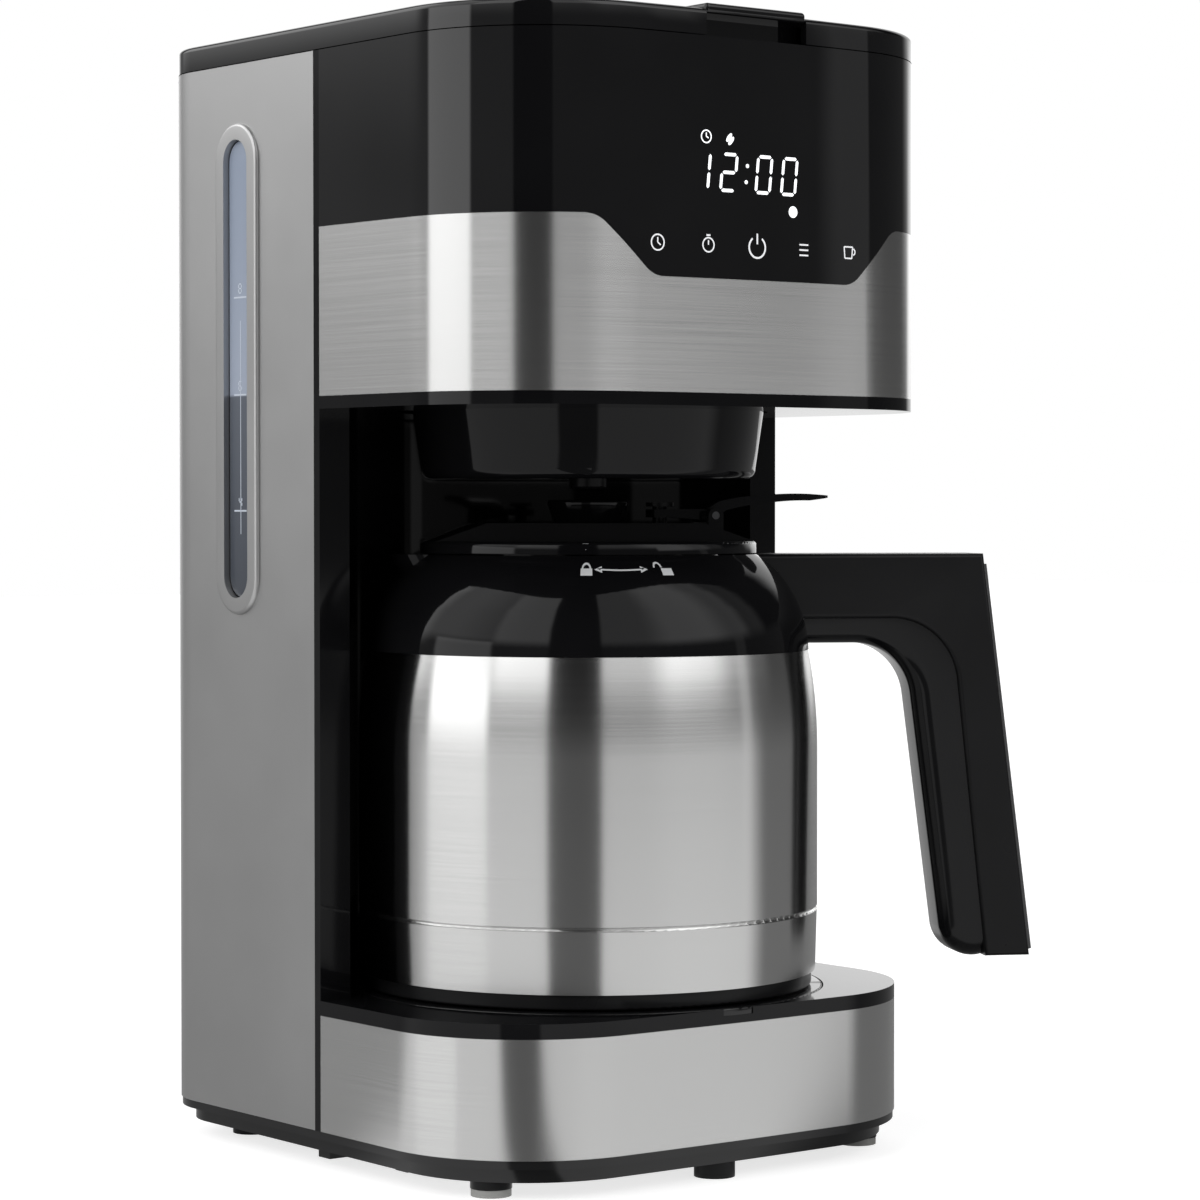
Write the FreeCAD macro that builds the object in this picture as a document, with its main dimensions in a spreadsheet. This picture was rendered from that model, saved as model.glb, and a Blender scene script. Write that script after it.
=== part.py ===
"""Drip coffee maker with a thermal jug, as separate pieces in one parametric document.

Millimetres, +Z up. The machine is drawn with its flat back on Y = 0, its front towards -Y and its
centre plane on X = 0. Pieces of the jug are drawn around their own vertical axis, with the handle
along +X. Every piece is then placed so that the origin is the middle of the whole footprint.
"""
import FreeCAD, Part
import Sketcher
import math
import os

V = FreeCAD.Vector

SIZES = {
    # whole machine
    "body_width": 174, "body_depth": 190, "rear_radius": 25, "front_radius": 47.5, "bow_radius": 759,
    "base_setback": 8, "base_radius": 46.5, "base_bow": 1400,
    "centre_x": 18.23, "centre_y": 93.8,
    # heights above the table
    "foot_top": 4.8, "pan_step": 9.2, "steel_low": 11.7, "steel_high": 45.7, "deck": 50,
    "tank_seam": 138, "lip_low": 222.7, "band_low": 226.4, "band_high": 275.5, "notch_low": 258.6,
    "lid_seam": 326.7, "lid_high": 334.5,
    # wall thicknesses and clearances
    "skin": 0.8, "wall": 2.2, "fascia_wall": 2, "slack": 0.3, "fit": 0.05,
    # tower and jug bay
    "tower_depth": 96, "panel_depth": 93, "axis_depth": 111, "bay_radius": 78,
    # notch of the glossy panel in the steel band
    "notch_half": 37, "notch_run": 18, "notch_round": 9,
    # water level window
    "window_depth": 52.1, "window_width": 13, "window_low": 166.8, "window_high": 304.1,
    "bead_width": 5, "bead_rise": 1.2,
    # tank
    "tank_high": 308, "tank_floor": 141.3, "tank_tip": 84, "riser_room": 9,
    "outlet_x": 60, "outlet_depth": 25,
    # brewing well and basket
    "well_radius": 58, "well_high": 318, "holder_radius": 53.5, "holder_low": 202.5, "holder_high": 306,
    "valve_radius": 5.6, "valve_low": 199.6,
    # top lid
    "hinge_radius": 3.75, "hinge_ear": 43, "ear_width": 6, "pin_radius": 1.25, "tab_half": 18.5,
    # heater
    "heater_radius": 46, "heater_half": 8, "heater_low": 20, "heater_high": 40, "heater_leg": 22,
    "water_bore": 4.5, "hose_radius": 5.5,
    # feet
    "foot_radius": 6, "pad_high": 2.2,
    # jug
    "jug_radius": 69.3, "jug_low": 50.7, "shell_low": 55.2, "groove": 73.9, "belly_high": 122,
    "collar_low": 151.3, "collar_radius": 66.4, "collar_high": 180, "collar_top": 51, "neck_radius": 41.2,
    "handle_turn": 28, "handle_width": 24, "grip_width": 21, "grip_lean": 7.25, "grip_bend": 18,
    "grip_under": 152.8, "grip_length": 71.6,
    # jug lid
    "lid_base": 180.4, "lid_flange": 184, "pivot_r": 36.6, "pivot_z": 191.6, "barrel": 2.3,
    "lever_tip": 73.2, "lever_width": 22, "port_radius": 26,
}


class Size(float):
    """A number that keeps the spreadsheet expression it was worked out from."""

    def __new__(cls, value, text=None):
        number = float.__new__(cls, value)
        number.text = text if text else f"{float(value):.6g}"
        return number

    def __add__(self, other):
        return Size(float(self) + float(other), f"({self.text} + {words(other)})")

    def __radd__(self, other):
        return Size(float(other) + float(self), f"({words(other)} + {self.text})")

    def __sub__(self, other):
        return Size(float(self) - float(other), f"({self.text} - {words(other)})")

    def __rsub__(self, other):
        return Size(float(other) - float(self), f"({words(other)} - {self.text})")

    def __mul__(self, other):
        return Size(float(self) * float(other), f"({self.text} * {words(other)})")

    def __rmul__(self, other):
        return Size(float(other) * float(self), f"({words(other)} * {self.text})")

    def __truediv__(self, other):
        return Size(float(self) / float(other), f"({self.text} / {words(other)})")

    def __neg__(self):
        return Size(-float(self), f"(-1 * {self.text})")


def words(number):
    """The expression of a number, or the number itself as text."""
    return number.text if isinstance(number, Size) else f"{float(number):.6g}"


def root(number):
    """Square root that stays a Size."""
    return Size(math.sqrt(number), f"sqrt({words(number)})")


def sine(angle):
    """Sine of an angle in degrees that stays a Size."""
    return Size(math.sin(math.radians(angle)), f"sin({words(angle)})")


def cosine(angle):
    """Cosine of an angle in degrees that stays a Size."""
    return Size(math.cos(math.radians(angle)), f"cos({words(angle)})")


class Sheet:
    """The driving dimensions: attribute access gives each cell as a Size."""

    def __init__(self, document, table):
        cells = document.addObject("Spreadsheet::Sheet", "sizes")
        for row, (alias, value) in enumerate(table.items(), start=1):
            cells.set(f"A{row}", alias)
            cells.set(f"B{row}", str(value))
            cells.setAlias(f"B{row}", alias)
            setattr(self, alias, Size(value, f"sizes.{alias}"))


doc = FreeCAD.newDocument("drip_coffee_maker")
S = Sheet(doc, SIZES)
doc.recompute()

PIECES = {}
FAR = 400          # longer than anything in the machine, for cutting tools


# ---------------------------------------------------------------- binding and placing

def bind(item, **values):
    """Bind properties of an object to sizes; a double underscore stands for a dot."""
    for name, value in values.items():
        item.setExpression(name.replace("__", "."), words(value))
    return item


def at(item, x=0, y=0, z=0):
    """Place a construction object."""
    return bind(item, Placement__Base__x=x, Placement__Base__y=y, Placement__Base__z=z)


def piece(label, item, x=0, y=0):
    """Register a finished piece, drawn around the point (x, y) of the machine's plan."""
    item.Label = label
    at(item, x - S.centre_x, y + S.centre_y, 0)
    PIECES[label] = item
    return item


def jug_piece(label, item):
    """Register a finished piece that was drawn around the jug's axis, handle along +X."""
    item.Label = label
    item.Placement = FreeCAD.Placement(V(0, 0, 0), FreeCAD.Rotation(V(0, 0, 1), -S.handle_turn))
    item.setExpression("Placement.Rotation.Angle", f"-{S.handle_turn.text}")
    at(item, -S.centre_x, S.centre_y - S.axis_depth, 0)
    PIECES[label] = item
    return item


# ---------------------------------------------------------------- solids from primitives

def box(name, x, y, z):
    """Box between two limits on each axis."""
    item = doc.addObject("Part::Box", name)
    bind(item, Length=x[1] - x[0], Width=y[1] - y[0], Height=z[1] - z[0])
    return at(item, x[0], y[0], z[0])


def rod(name, radius, z, x=0, y=0):
    """Upright cylinder from z[0] to z[1]."""
    item = doc.addObject("Part::Cylinder", name)
    bind(item, Radius=radius, Height=z[1] - z[0])
    return at(item, x, y, z[0])


def lying_rod(name, radius, along, start, length):
    """Cylinder along X or Y from its start point."""
    item = doc.addObject("Part::Cylinder", name)
    turn = FreeCAD.Rotation(V(0, 0, 1), V(1, 0, 0) if along == "x" else V(0, 1, 0))
    item.Placement = FreeCAD.Placement(V(0, 0, 0), turn)
    bind(item, Radius=radius, Height=length)
    return at(item, *start)


def fuse(name, *parts):
    """Union of several objects."""
    item = doc.addObject("Part::MultiFuse", name)
    item.Shapes = list(parts)
    item.Refine = True
    return item


def common(name, *parts):
    """Intersection of several objects."""
    item = doc.addObject("Part::MultiCommon", name)
    item.Shapes = list(parts)
    item.Refine = True
    return item


def cut(name, base, *tools):
    """Base less every tool."""
    item = doc.addObject("Part::Cut", name)
    item.Base = base
    item.Tool = tools[0] if len(tools) == 1 else fuse(name + "_tools", *tools)
    item.Refine = True
    return item


def rounded(name, base, radius, chosen):
    """Fillet the edges of base that the test picks."""
    doc.recompute()
    item = doc.addObject("Part::Fillet", name)
    item.Base = base
    item.Edges = [(number, float(radius), float(radius))
                  for number, edge in enumerate(base.Shape.Edges, start=1) if chosen(edge)]
    return item


# ---------------------------------------------------------------- sketches

def loop(sketch, corners):
    """Closed outline through corners (x, y) or (x, y, radius).

    A radius bends the edge that ends at its corner: to the left of travel when it is positive.
    """
    ends = []
    for number, corner in enumerate(corners):
        before = corners[number - 1]
        start, end = V(before[0], before[1], 0), V(corner[0], corner[1], 0)
        if len(corner) == 2:
            sketch.addGeometry(Part.LineSegment(start, end))
            ends.append((1, 2))
            continue
        radius = float(corner[2])
        half = (end - start) * 0.5
        side = V(-half.y, half.x, 0).normalize() * math.sqrt(max(radius ** 2 - half.Length ** 2, 0))
        middle = start + half + side * math.copysign(1, radius)
        first, last = (start, end) if radius > 0 else (end, start)
        angles = [math.atan2(point.y - middle.y, point.x - middle.x) for point in (first, last)]
        ring = Part.Circle(middle, V(0, 0, 1), abs(radius))
        whole_turn = 2 * math.pi if angles[1] < angles[0] else 0
        sketch.addGeometry(Part.ArcOfCircle(ring, angles[0], angles[1] + whole_turn))
        ends.append((1, 2) if radius > 0 else (2, 1))
    pin_corners(sketch, corners, ends)


def pin_corners(sketch, corners, ends):
    """Join the edges of a loop and tie each corner and radius to its expression."""
    rule = Sketcher.Constraint
    for number, corner in enumerate(corners):
        after = (number + 1) % len(corners)
        sketch.addConstraint(rule("Coincident", number, ends[number][1], after, ends[after][0]))
        for kind, value in (("DistanceX", corner[0]), ("DistanceY", corner[1])):
            made = sketch.addConstraint(rule(kind, -1, 1, number, ends[number][1], float(value)))
            if isinstance(value, Size):
                sketch.setExpression(f"Constraints[{made}]", value.text)
        if len(corner) == 3:
            made = sketch.addConstraint(rule("Radius", number, abs(float(corner[2]))))
            if isinstance(corner[2], Size):
                sketch.setExpression(f"Constraints[{made}]", f"abs({corner[2].text})")


def ring(sketch, x, y, radius):
    """Circle with its centre and radius tied to sizes."""
    rule = Sketcher.Constraint
    made = sketch.addGeometry(Part.Circle(V(x, y, 0), V(0, 0, 1), float(radius)))
    for kind, value in (("DistanceX", x), ("DistanceY", y)):
        number = sketch.addConstraint(rule(kind, -1, 1, made, 3, float(value)))
        if isinstance(value, Size):
            sketch.setExpression(f"Constraints[{number}]", value.text)
    number = sketch.addConstraint(rule("Radius", made, float(radius)))
    if isinstance(radius, Size):
        sketch.setExpression(f"Constraints[{number}]", radius.text)


def plan_outline(sketch, front, corner, bow, inset):
    """The machine's plan: flat back, rounded rear corners, straight sides and a bowed front.

    inset draws the same plan that much smaller all round.
    """
    half = S.body_width / 2 - inset
    back, ends_at, rear = -inset, front - inset, S.rear_radius - inset
    nose, bend = corner - inset, bow - inset
    bow_y = bend - ends_at
    nose_x = half - nose
    nose_y = bow_y - root((bend - nose) * (bend - nose) - nose_x * nose_x)
    lean = math.atan2(nose_y - bow_y, nose_x)
    up, full = V(0, 0, 1), math.pi

    def arc(x, y, radius, start, stop):
        return Part.ArcOfCircle(Part.Circle(V(x, y, 0), up, float(radius)), start, stop)

    sketch.addGeometry([
        Part.LineSegment(V(rear - half, back, 0), V(half - rear, back, 0)),
        arc(half - rear, back - rear, rear, 0, full / 2),
        Part.LineSegment(V(half, back - rear, 0), V(half, nose_y, 0)),
        arc(nose_x, nose_y, nose, lean, 0),
        arc(0, bow_y, bend, -full - lean, lean),
        arc(-nose_x, nose_y, nose, full, full - lean),
        Part.LineSegment(V(-half, nose_y, 0), V(-half, back - rear, 0)),
        arc(rear - half, back - rear, rear, full / 2, full),
    ])
    rule = Sketcher.Constraint
    for first, first_end, second, second_end in ((0, 2, 1, 2), (1, 1, 2, 1), (2, 2, 3, 2), (3, 1, 4, 2),
                                                 (4, 1, 5, 2), (5, 1, 6, 1), (6, 2, 7, 2), (7, 1, 0, 1)):
        sketch.addConstraint(rule("Tangent", first, first_end, second, second_end))
    sketch.addConstraint([rule("Horizontal", 0), rule("Vertical", 2), rule("Vertical", 6),
                          rule("Equal", 1, 7), rule("Equal", 3, 5), rule("PointOnObject", 4, 3, -2)])
    for made, value in ((rule("Radius", 1, float(rear)), rear), (rule("Radius", 3, float(nose)), nose),
                        (rule("Radius", 4, float(bend)), bend),
                        (rule("DistanceX", -1, 1, 2, 1, float(half)), half),
                        (rule("DistanceX", -1, 1, 6, 1, -float(half)), -half),
                        (rule("DistanceY", -1, 1, 0, 1, float(back)), Size(0) + back),
                        (rule("DistanceY", -1, 1, 4, 3, float(bow_y)), bow_y)):
        sketch.setExpression(f"Constraints[{sketch.addConstraint(made)}]", value.text)



def slab(name, z, inset=Size(0), base=False):
    """The machine's plan, inset all round, between two heights."""
    sketch = doc.addObject("Sketcher::SketchObject", name + "_plan")
    if base:
        plan_outline(sketch, S.body_depth - S.base_setback, S.base_radius, S.base_bow, inset)
    else:
        plan_outline(sketch, S.body_depth, S.front_radius, S.bow_radius, inset)
    at(sketch, 0, 0, z[0])
    item = doc.addObject("Part::Extrusion", name)
    item.Base = sketch
    item.DirMode = "Normal"
    item.Solid = True
    return bind(item, LengthFwd=z[1] - z[0])


def body_of(name):
    """New body with a finder for its own origin planes."""
    body = doc.addObject("PartDesign::Body", name)

    def plane(role):
        return next(item for item in body.Origin.OriginFeatures if item.Role == role)

    return body, plane


def drawn(body, plane, name, role, offset=0):
    """Sketch on one of the body's origin planes, moved along the plane's normal."""
    sketch = body.newObject("Sketcher::SketchObject", name)
    sketch.AttachmentSupport = [(plane(role), "")]
    sketch.MapMode = "FlatFace"
    sketch.setExpression("AttachmentOffset.Base.z", words(offset))
    return sketch


def turned(name, corners, angle=360):
    """Body turned around Z from an outline of (radius, height) corners."""
    body, plane = body_of(name)
    sketch = drawn(body, plane, name + "_outline", "XZ_Plane")
    loop(sketch, corners)
    spin = body.newObject("PartDesign::Revolution", name + "_turn")
    spin.Profile = sketch
    spin.ReferenceAxis = (sketch, ["V_Axis"])
    spin.Angle = angle
    body.Tip = spin
    return body


def padded(name, role, corners, start, length, holes=()):
    """Body padded from an outline on an origin plane; holes are (x, y, radius)."""
    body, plane = body_of(name)
    sketch = drawn(body, plane, name + "_outline", role, start)
    loop(sketch, corners)
    for x, y, radius in holes:
        ring(sketch, x, y, radius)
    pad = body.newObject("PartDesign::Pad", name + "_pad")
    pad.Profile = sketch
    bind(pad, Length=length)
    body.Tip = pad
    return body


def softened(body, radius, chosen, kind="Fillet"):
    """Fillet or chamfer the edges of a body that the test picks."""
    doc.recompute()
    base = body.Tip
    item = body.newObject("PartDesign::" + kind, f"{body.Name}_{kind}")
    names = [f"Edge{number}" for number, edge in enumerate(base.Shape.Edges, start=1) if chosen(edge)]
    item.Base = (base, names)
    bind(item, **{"Radius" if kind == "Fillet" else "Size": radius})
    body.Tip = item
    return body


def tube(name, points, bend, outer, bore=0):
    """Round hose along straight runs joined by tangent arcs."""
    path = []
    here = points[0]
    for before, corner, after in zip(points, points[1:], points[2:]):
        inward, outward = (corner - before).normalize(), (after - corner).normalize()
        turn = inward.getAngle(outward)
        reach = float(bend) * math.tan(turn / 2)
        first, last = corner - inward * reach, corner + outward * reach
        middle = corner + (outward - inward).normalize() * (float(bend) / math.cos(turn / 2) - float(bend))
        path += [Part.LineSegment(here, first).toShape(), Part.Arc(first, middle, last).toShape()]
        here = last
    path.append(Part.LineSegment(here, points[-1]).toShape())
    wire = Part.Wire(path)
    normal = points[1] - points[0]

    def swept(radius):
        rim = Part.Wire([Part.Circle(points[0], normal, float(radius)).toShape()])
        return wire.makePipeShell([rim], True, False)

    solid = swept(outer) if not bore else swept(outer).cut(swept(bore))
    item = doc.addObject("Part::Feature", name)
    item.Shape = solid
    return item


def flat_at(edge, z):
    """True when the whole edge lies at height z."""
    bound = edge.BoundBox
    return abs(bound.ZMin - z) < 0.01 and abs(bound.ZMax - z) < 0.01


def stadium(x, low, high, half):
    """Corners of an upright slot with round ends."""
    return [(x + half, low + half, half), (x + half, high - half), (x, high, half),
            (x - half, high - half, half), (x - half, low + half), (x, low, half)]


def mirrored(places):
    """Each (x, y) place and its mirror image across the centre plane."""
    return [(side * x, y) for x, y in places for side in (-1, 1)]


# ---------------------------------------------------------------- shared cutting volumes

AXIS = S.axis_depth
AHEAD = box("ahead", (-FAR, FAR), (-FAR, -S.tower_depth), (0, FAR))
BEHIND = box("behind", (-FAR, FAR), (-S.tower_depth, FAR), (0, FAR))
STRIP = box("strip_zone", (-FAR, FAR), (-S.tower_depth, -S.panel_depth), (0, FAR))
PANELS = box("panel_zone", (-FAR, FAR), (-S.panel_depth, FAR), (0, FAR))
INNER_TOWER = box("inner_tower", (-FAR, FAR), (S.wall - S.tower_depth, FAR), (0, FAR))
BACK_PLATE = box("back_plate", (S.rear_radius - S.body_width / 2, S.body_width / 2 - S.rear_radius),
                 (-2, 5), (S.steel_low - 1, S.lid_seam + 1))
CORE = S.skin + S.wall            # inset of the inner face of the tower walls
BAY_WALL = S.bay_radius + S.wall
WELL_ROOM = rod("well_room", S.well_radius + 2, (S.band_low, FAR), 0, -AXIS)
WALL_TOP = box("wall_top", (-80, 80), (-S.tower_depth - 3, -S.tower_depth + 4), (318, FAR))
CABLE_GATE = box("cable_gate", (-82.6, -74), (-S.tower_depth - 4, -S.tower_depth + 4), (232, 252))
NOZZLE_GAP = box("nozzle_gap", (-6, 6), (-66, -44), (308, FAR))

SCREWS = mirrored([(72, -72), (62, -140)])
BACK_SCREWS = [(side * 54, height) for side in (-1, 1) for height in (20, 312)]
OUTLET = (S.outlet_x, -S.outlet_depth)
RISER_Y = -11.5
CABLE = V(-81, -88, 0)


# ---------------------------------------------------------------- base

def make_base():
    floor = S.foot_top + 2.4
    pan = fuse("pan_block", slab("pan_rim", (S.pan_step, S.steel_low), Size(0.4), True),
               slab("pan_skirt", (S.foot_top, S.pan_step), Size(4.5), True))
    slots = [box(f"pan_slot_{number}", (-22, 22), (-60 + 9 * number, -56 + 9 * number), (0, floor + 1))
             for number in range(4)]
    tray = cut("pan_tray", pan, slab("pan_hollow", (floor, S.steel_low + 1), Size(7), True), *slots)
    lugs = [box(f"lug_{number}", (x - 3, x + 3), (y - 3, y + 3), (2.2, S.foot_top + 1))
            for number, (x, y) in enumerate(mirrored([(77.5, -88), (72, -120)]))]
    posts = [rod(f"heater_post_{number}", 4, (floor - 1, S.heater_low - 3), x, y)
             for number, (x, y) in enumerate(mirrored([(36, -111)]))]
    holes = [rod(f"pan_hole_{number}", 1.5, (0, floor + 1), x, y) for number, (x, y) in enumerate(SCREWS)]
    sinks = [rod(f"pan_sink_{number}", 3.3, (0, S.foot_top + 1.6), x, y)
             for number, (x, y) in enumerate(SCREWS)]
    piece("base_pan", cut("base_pan", fuse("pan_full", tray, *lugs, *posts), *holes, *sinks))
    shanks = [rod(f"screw_shank_{number}", 1.25, (S.foot_top + 1.2, 22), x, y)
              for number, (x, y) in enumerate(SCREWS)]
    heads = [rod(f"screw_head_{number}", 3, (S.foot_top + 0.2, S.foot_top + 1.6), x, y)
             for number, (x, y) in enumerate(SCREWS)]
    crosses = [box(f"screw_cross_{number}", (x - 2, x + 2), (y - 0.4, y + 0.4), (0, S.foot_top + 0.9))
               for number, (x, y) in enumerate(SCREWS)]
    piece("bottom_screws", cut("bottom_screws", fuse("screw_blanks", *shanks, *heads), *crosses))


def make_lower_housing():
    block = fuse("lower_block",
                 common("base_core", slab("base_wall", (S.steel_low, S.steel_high), S.skin, True), AHEAD),
                 common("deck_rim", slab("deck_edge", (S.steel_high, S.deck), Size(0), True), AHEAD),
                 common("low_tower", slab("low_tower_wall", (S.steel_low, S.tank_seam), S.skin), BEHIND),
                 common("low_strip", slab("low_strip_wall", (S.steel_low, S.tank_seam)), STRIP))
    under = S.deck - 3.5
    base_room = slab("base_room", (S.steel_low - 1, under), CORE, True)
    inner = slab("low_tower_inner", (S.steel_low, S.tank_seam + 1), CORE)
    tower_room = cut("low_tower_room", common("low_tower_zone", inner, INNER_TOWER),
                     rod("deck_disc", BAY_WALL, (under, S.deck), 0, -AXIS))
    bay = rod("low_bay", BAY_WALL, (S.deck, FAR), 0, -AXIS)
    seat = rod("plate_seat", 71.2, (S.deck - 2, S.deck + 1), 0, -AXIS)
    service = box("service_hole", (-50, 50), (-6, 5), (26, 128))
    shell = cut("lower_shell", block, base_room, tower_room, bay, seat, service, BACK_PLATE)
    bosses = [rod(f"boss_{number}", 4, (S.foot_top + 2.4, under + 1), x, y)
              for number, (x, y) in enumerate(SCREWS)]
    back_bosses = [lying_rod(f"low_back_boss_{number}", 3.5, "y", (x, -12, height), 10)
                   for number, (x, height) in enumerate(BACK_SCREWS) if height < S.tank_seam]
    pilots = [rod(f"pilot_{number}", 1.25, (0, 23), x, y) for number, (x, y) in enumerate(SCREWS)]
    back_pilots = [lying_rod(f"low_back_pilot_{number}", 1.2, "y", (x, -10, height), 12)
                   for number, (x, height) in enumerate(BACK_SCREWS) if height < S.tank_seam]
    piece("lower_housing", cut("lower_housing", fuse("lower_full", shell, *bosses, *back_bosses),
                               *pilots, *back_pilots))


def make_base_trim():
    wrap = cut("wrap_ring", slab("wrap_outer", (S.steel_low, S.steel_high), Size(0), True),
               slab("wrap_inner", (S.steel_low - 1, S.steel_high + 1), S.skin, True))
    piece("base_wrap", common("base_wrap", wrap, AHEAD))
    low, top = S.deck - 2, S.deck + 0.2
    plate = turned("jug_plate", [(0, low), (70.9, low), (70.9, top - 0.7), (70.2, top, 0.7), (62, top),
                                 (61.4, top - 0.6), (60.2, top - 0.6), (59.6, top), (30, top),
                                 (29.6, top - 0.4), (28.8, top - 0.4), (28.4, top), (0, top)])
    piece("jug_plate", plate, 0, -AXIS)
    spots = mirrored([(69, -155.8)])
    rests = mirrored([(66, -25.6)]) + [(0, -171.2)]
    stubs = [rod(f"foot_stub_{number}", S.foot_radius, (S.pad_high, S.foot_top), x, y)
             for number, (x, y) in enumerate(spots)]
    posts = [rod(f"foot_post_{number}", S.foot_radius, (0, S.foot_top), x, y)
             for number, (x, y) in enumerate(rests)]
    piece("feet", fuse("feet", *stubs, *posts))
    pads = [rod(f"pad_{number}", S.foot_radius - 0.2, (0, S.pad_high), x, y)
            for number, (x, y) in enumerate(spots)]
    piece("foot_pads", fuse("foot_pads", *pads))


# ---------------------------------------------------------------- tower

def make_bay_wall():
    """Curved wall between the tower and the bay that the jug stands in."""
    ring = cut("bay_ring", rod("bay_ring_outer", BAY_WALL, (S.deck, S.lip_low), 0, -AXIS),
               rod("bay_ring_inner", S.bay_radius, (0, FAR), 0, -AXIS))
    piece("bay_wall", common("bay_wall", ring, BEHIND))


def make_upper_housing():
    seam, top = S.tank_seam, S.lid_seam
    block = fuse("upper_block",
                 common("high_tower", slab("high_tower_wall", (seam, top), S.skin), BEHIND),
                 common("high_strip", slab("high_strip_wall", (seam, top)), STRIP))
    bay = rod("high_bay", BAY_WALL, (seam - 1, S.lip_low), 0, -AXIS)
    roof = S.lip_low + S.wall
    tower_room = cut("high_tower_room",
                     common("high_tower_zone", slab("high_tower_inner", (seam + 3, FAR), CORE),
                            INNER_TOWER),
                     rod("bay_roof", BAY_WALL, (seam, roof), 0, -AXIS))
    shell = cut("upper_shell", block, bay, tower_room, BACK_PLATE)
    ears = [part for side in (-1, 1) for part in hinge_ear(side)]
    bosses = [lying_rod(f"high_back_boss_{number}", 3.5, "y", (x, -12, height), 10)
              for number, (x, height) in enumerate(BACK_SCREWS) if height > S.tank_seam]
    pilots = [lying_rod(f"high_back_pilot_{number}", 1.2, "y", (x, -10, height), 12)
              for number, (x, height) in enumerate(BACK_SCREWS) if height > S.tank_seam]
    pin_bore = lying_rod("ear_bores", S.pin_radius, "x", (-60, -S.hinge_radius, hinge_z()), 120)
    window = padded("housing_slot", "YZ_Plane", window_corners(0.05), -S.body_width / 2 - 1, Size(8))
    openings = [rod("roof_hole", S.well_radius, (0, FAR), 0, -AXIS),
                rod("outlet_hole", 6, (0, seam + 4), *OUTLET),
                rod("riser_hole", 6.2, (0, seam + 4), 0, RISER_Y),
                rod("cable_hole", 1.8, (0, seam + 4), CABLE.x, CABLE.y)]
    piece("upper_housing", cut("upper_housing", fuse("upper_full", shell, *ears, *bosses),
                               WELL_ROOM, WALL_TOP, CABLE_GATE, *openings, *pilots, pin_bore, window))


def make_head_housing():
    """Tray behind the glossy panel that carries the brewing well and the display."""
    core = common("head_core", slab("head_wall", (S.band_low, S.lid_seam), S.fascia_wall + 0.2), AHEAD)
    head_zone = box("head_zone", (-FAR, FAR), (-FAR, -S.tower_depth - S.wall), (0, FAR))
    head_room = common("head_room", slab("head_inner", (S.band_low + S.wall, FAR),
                                         S.fascia_wall + CORE - 0.6), head_zone)
    touch_opening = box("touch_opening", (-50, 50), (-S.body_depth, -182), (256, 306))
    piece("head_housing", cut("head_housing", core, head_room, WELL_ROOM, WALL_TOP, CABLE_GATE,
                              touch_opening))
    well = cut("well_ring", rod("well_wall", S.well_radius + 2, (S.band_low, S.well_high), 0, -AXIS),
               rod("well_bore", S.well_radius, (0, FAR), 0, -AXIS))
    piece("brew_well", cut("brew_well", well, NOZZLE_GAP))


def hinge_z():
    """Height of the lid's hinge axis: the middle of the lid's rounded rear edge."""
    return S.lid_seam + S.slack + S.hinge_radius


def hinge_ear(side):
    """Upright ear that carries one end of the lid's hinge."""
    left = S.hinge_ear * side - S.ear_width / 2
    eye = lying_rod(f"ear_eye_{side + 1}", S.hinge_radius - 0.35, "x", (left, -S.hinge_radius, hinge_z()),
                    S.ear_width)
    stem = box(f"ear_stem_{side + 1}", (left, left + S.ear_width), (0.35 - 2 * S.hinge_radius, -2.2),
               (S.lid_seam - 10, hinge_z()))
    return eye, stem


def window_corners(grow):
    """Slot of the water window, seen from the side, grown by a clearance."""
    return stadium(-S.window_depth, S.window_low - grow, S.window_high + grow, S.window_width / 2 + grow)


def make_panels():
    ring_wall = cut("panel_ring", slab("panel_outer", (S.steel_low, S.lid_seam)),
                    slab("panel_inner", (S.steel_low - 1, S.lid_seam + 1), S.skin))
    sheets = cut("panel_sheets", common("panel_band", ring_wall, PANELS), BACK_PLATE)
    right = box("right_half", (0, FAR), (-FAR, FAR), (0, FAR))
    left = box("left_half", (-FAR, 0), (-FAR, FAR), (0, FAR))
    piece("side_panel_right", common("side_panel_right", sheets, right))
    rim = S.bead_width
    out = S.body_width / 2
    bead = padded("window_bead", "YZ_Plane",
                  stadium(-S.window_depth, S.window_low - rim, S.window_high + rim,
                          S.window_width / 2 + rim),
                  -out - S.bead_rise, S.bead_rise + S.skin)
    outside = float(-out - S.bead_rise)
    softened(bead, S.bead_rise - 0.1, lambda edge: abs(edge.BoundBox.XMax - outside) < 0.01)
    slot = padded("panel_slot", "YZ_Plane", window_corners(0), -out - 5, Size(10))
    plain = common("left_sheet", sheets, left)
    piece("side_panel_left", cut("side_panel_left", fuse("left_beaded", plain, bead), slot))


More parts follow.
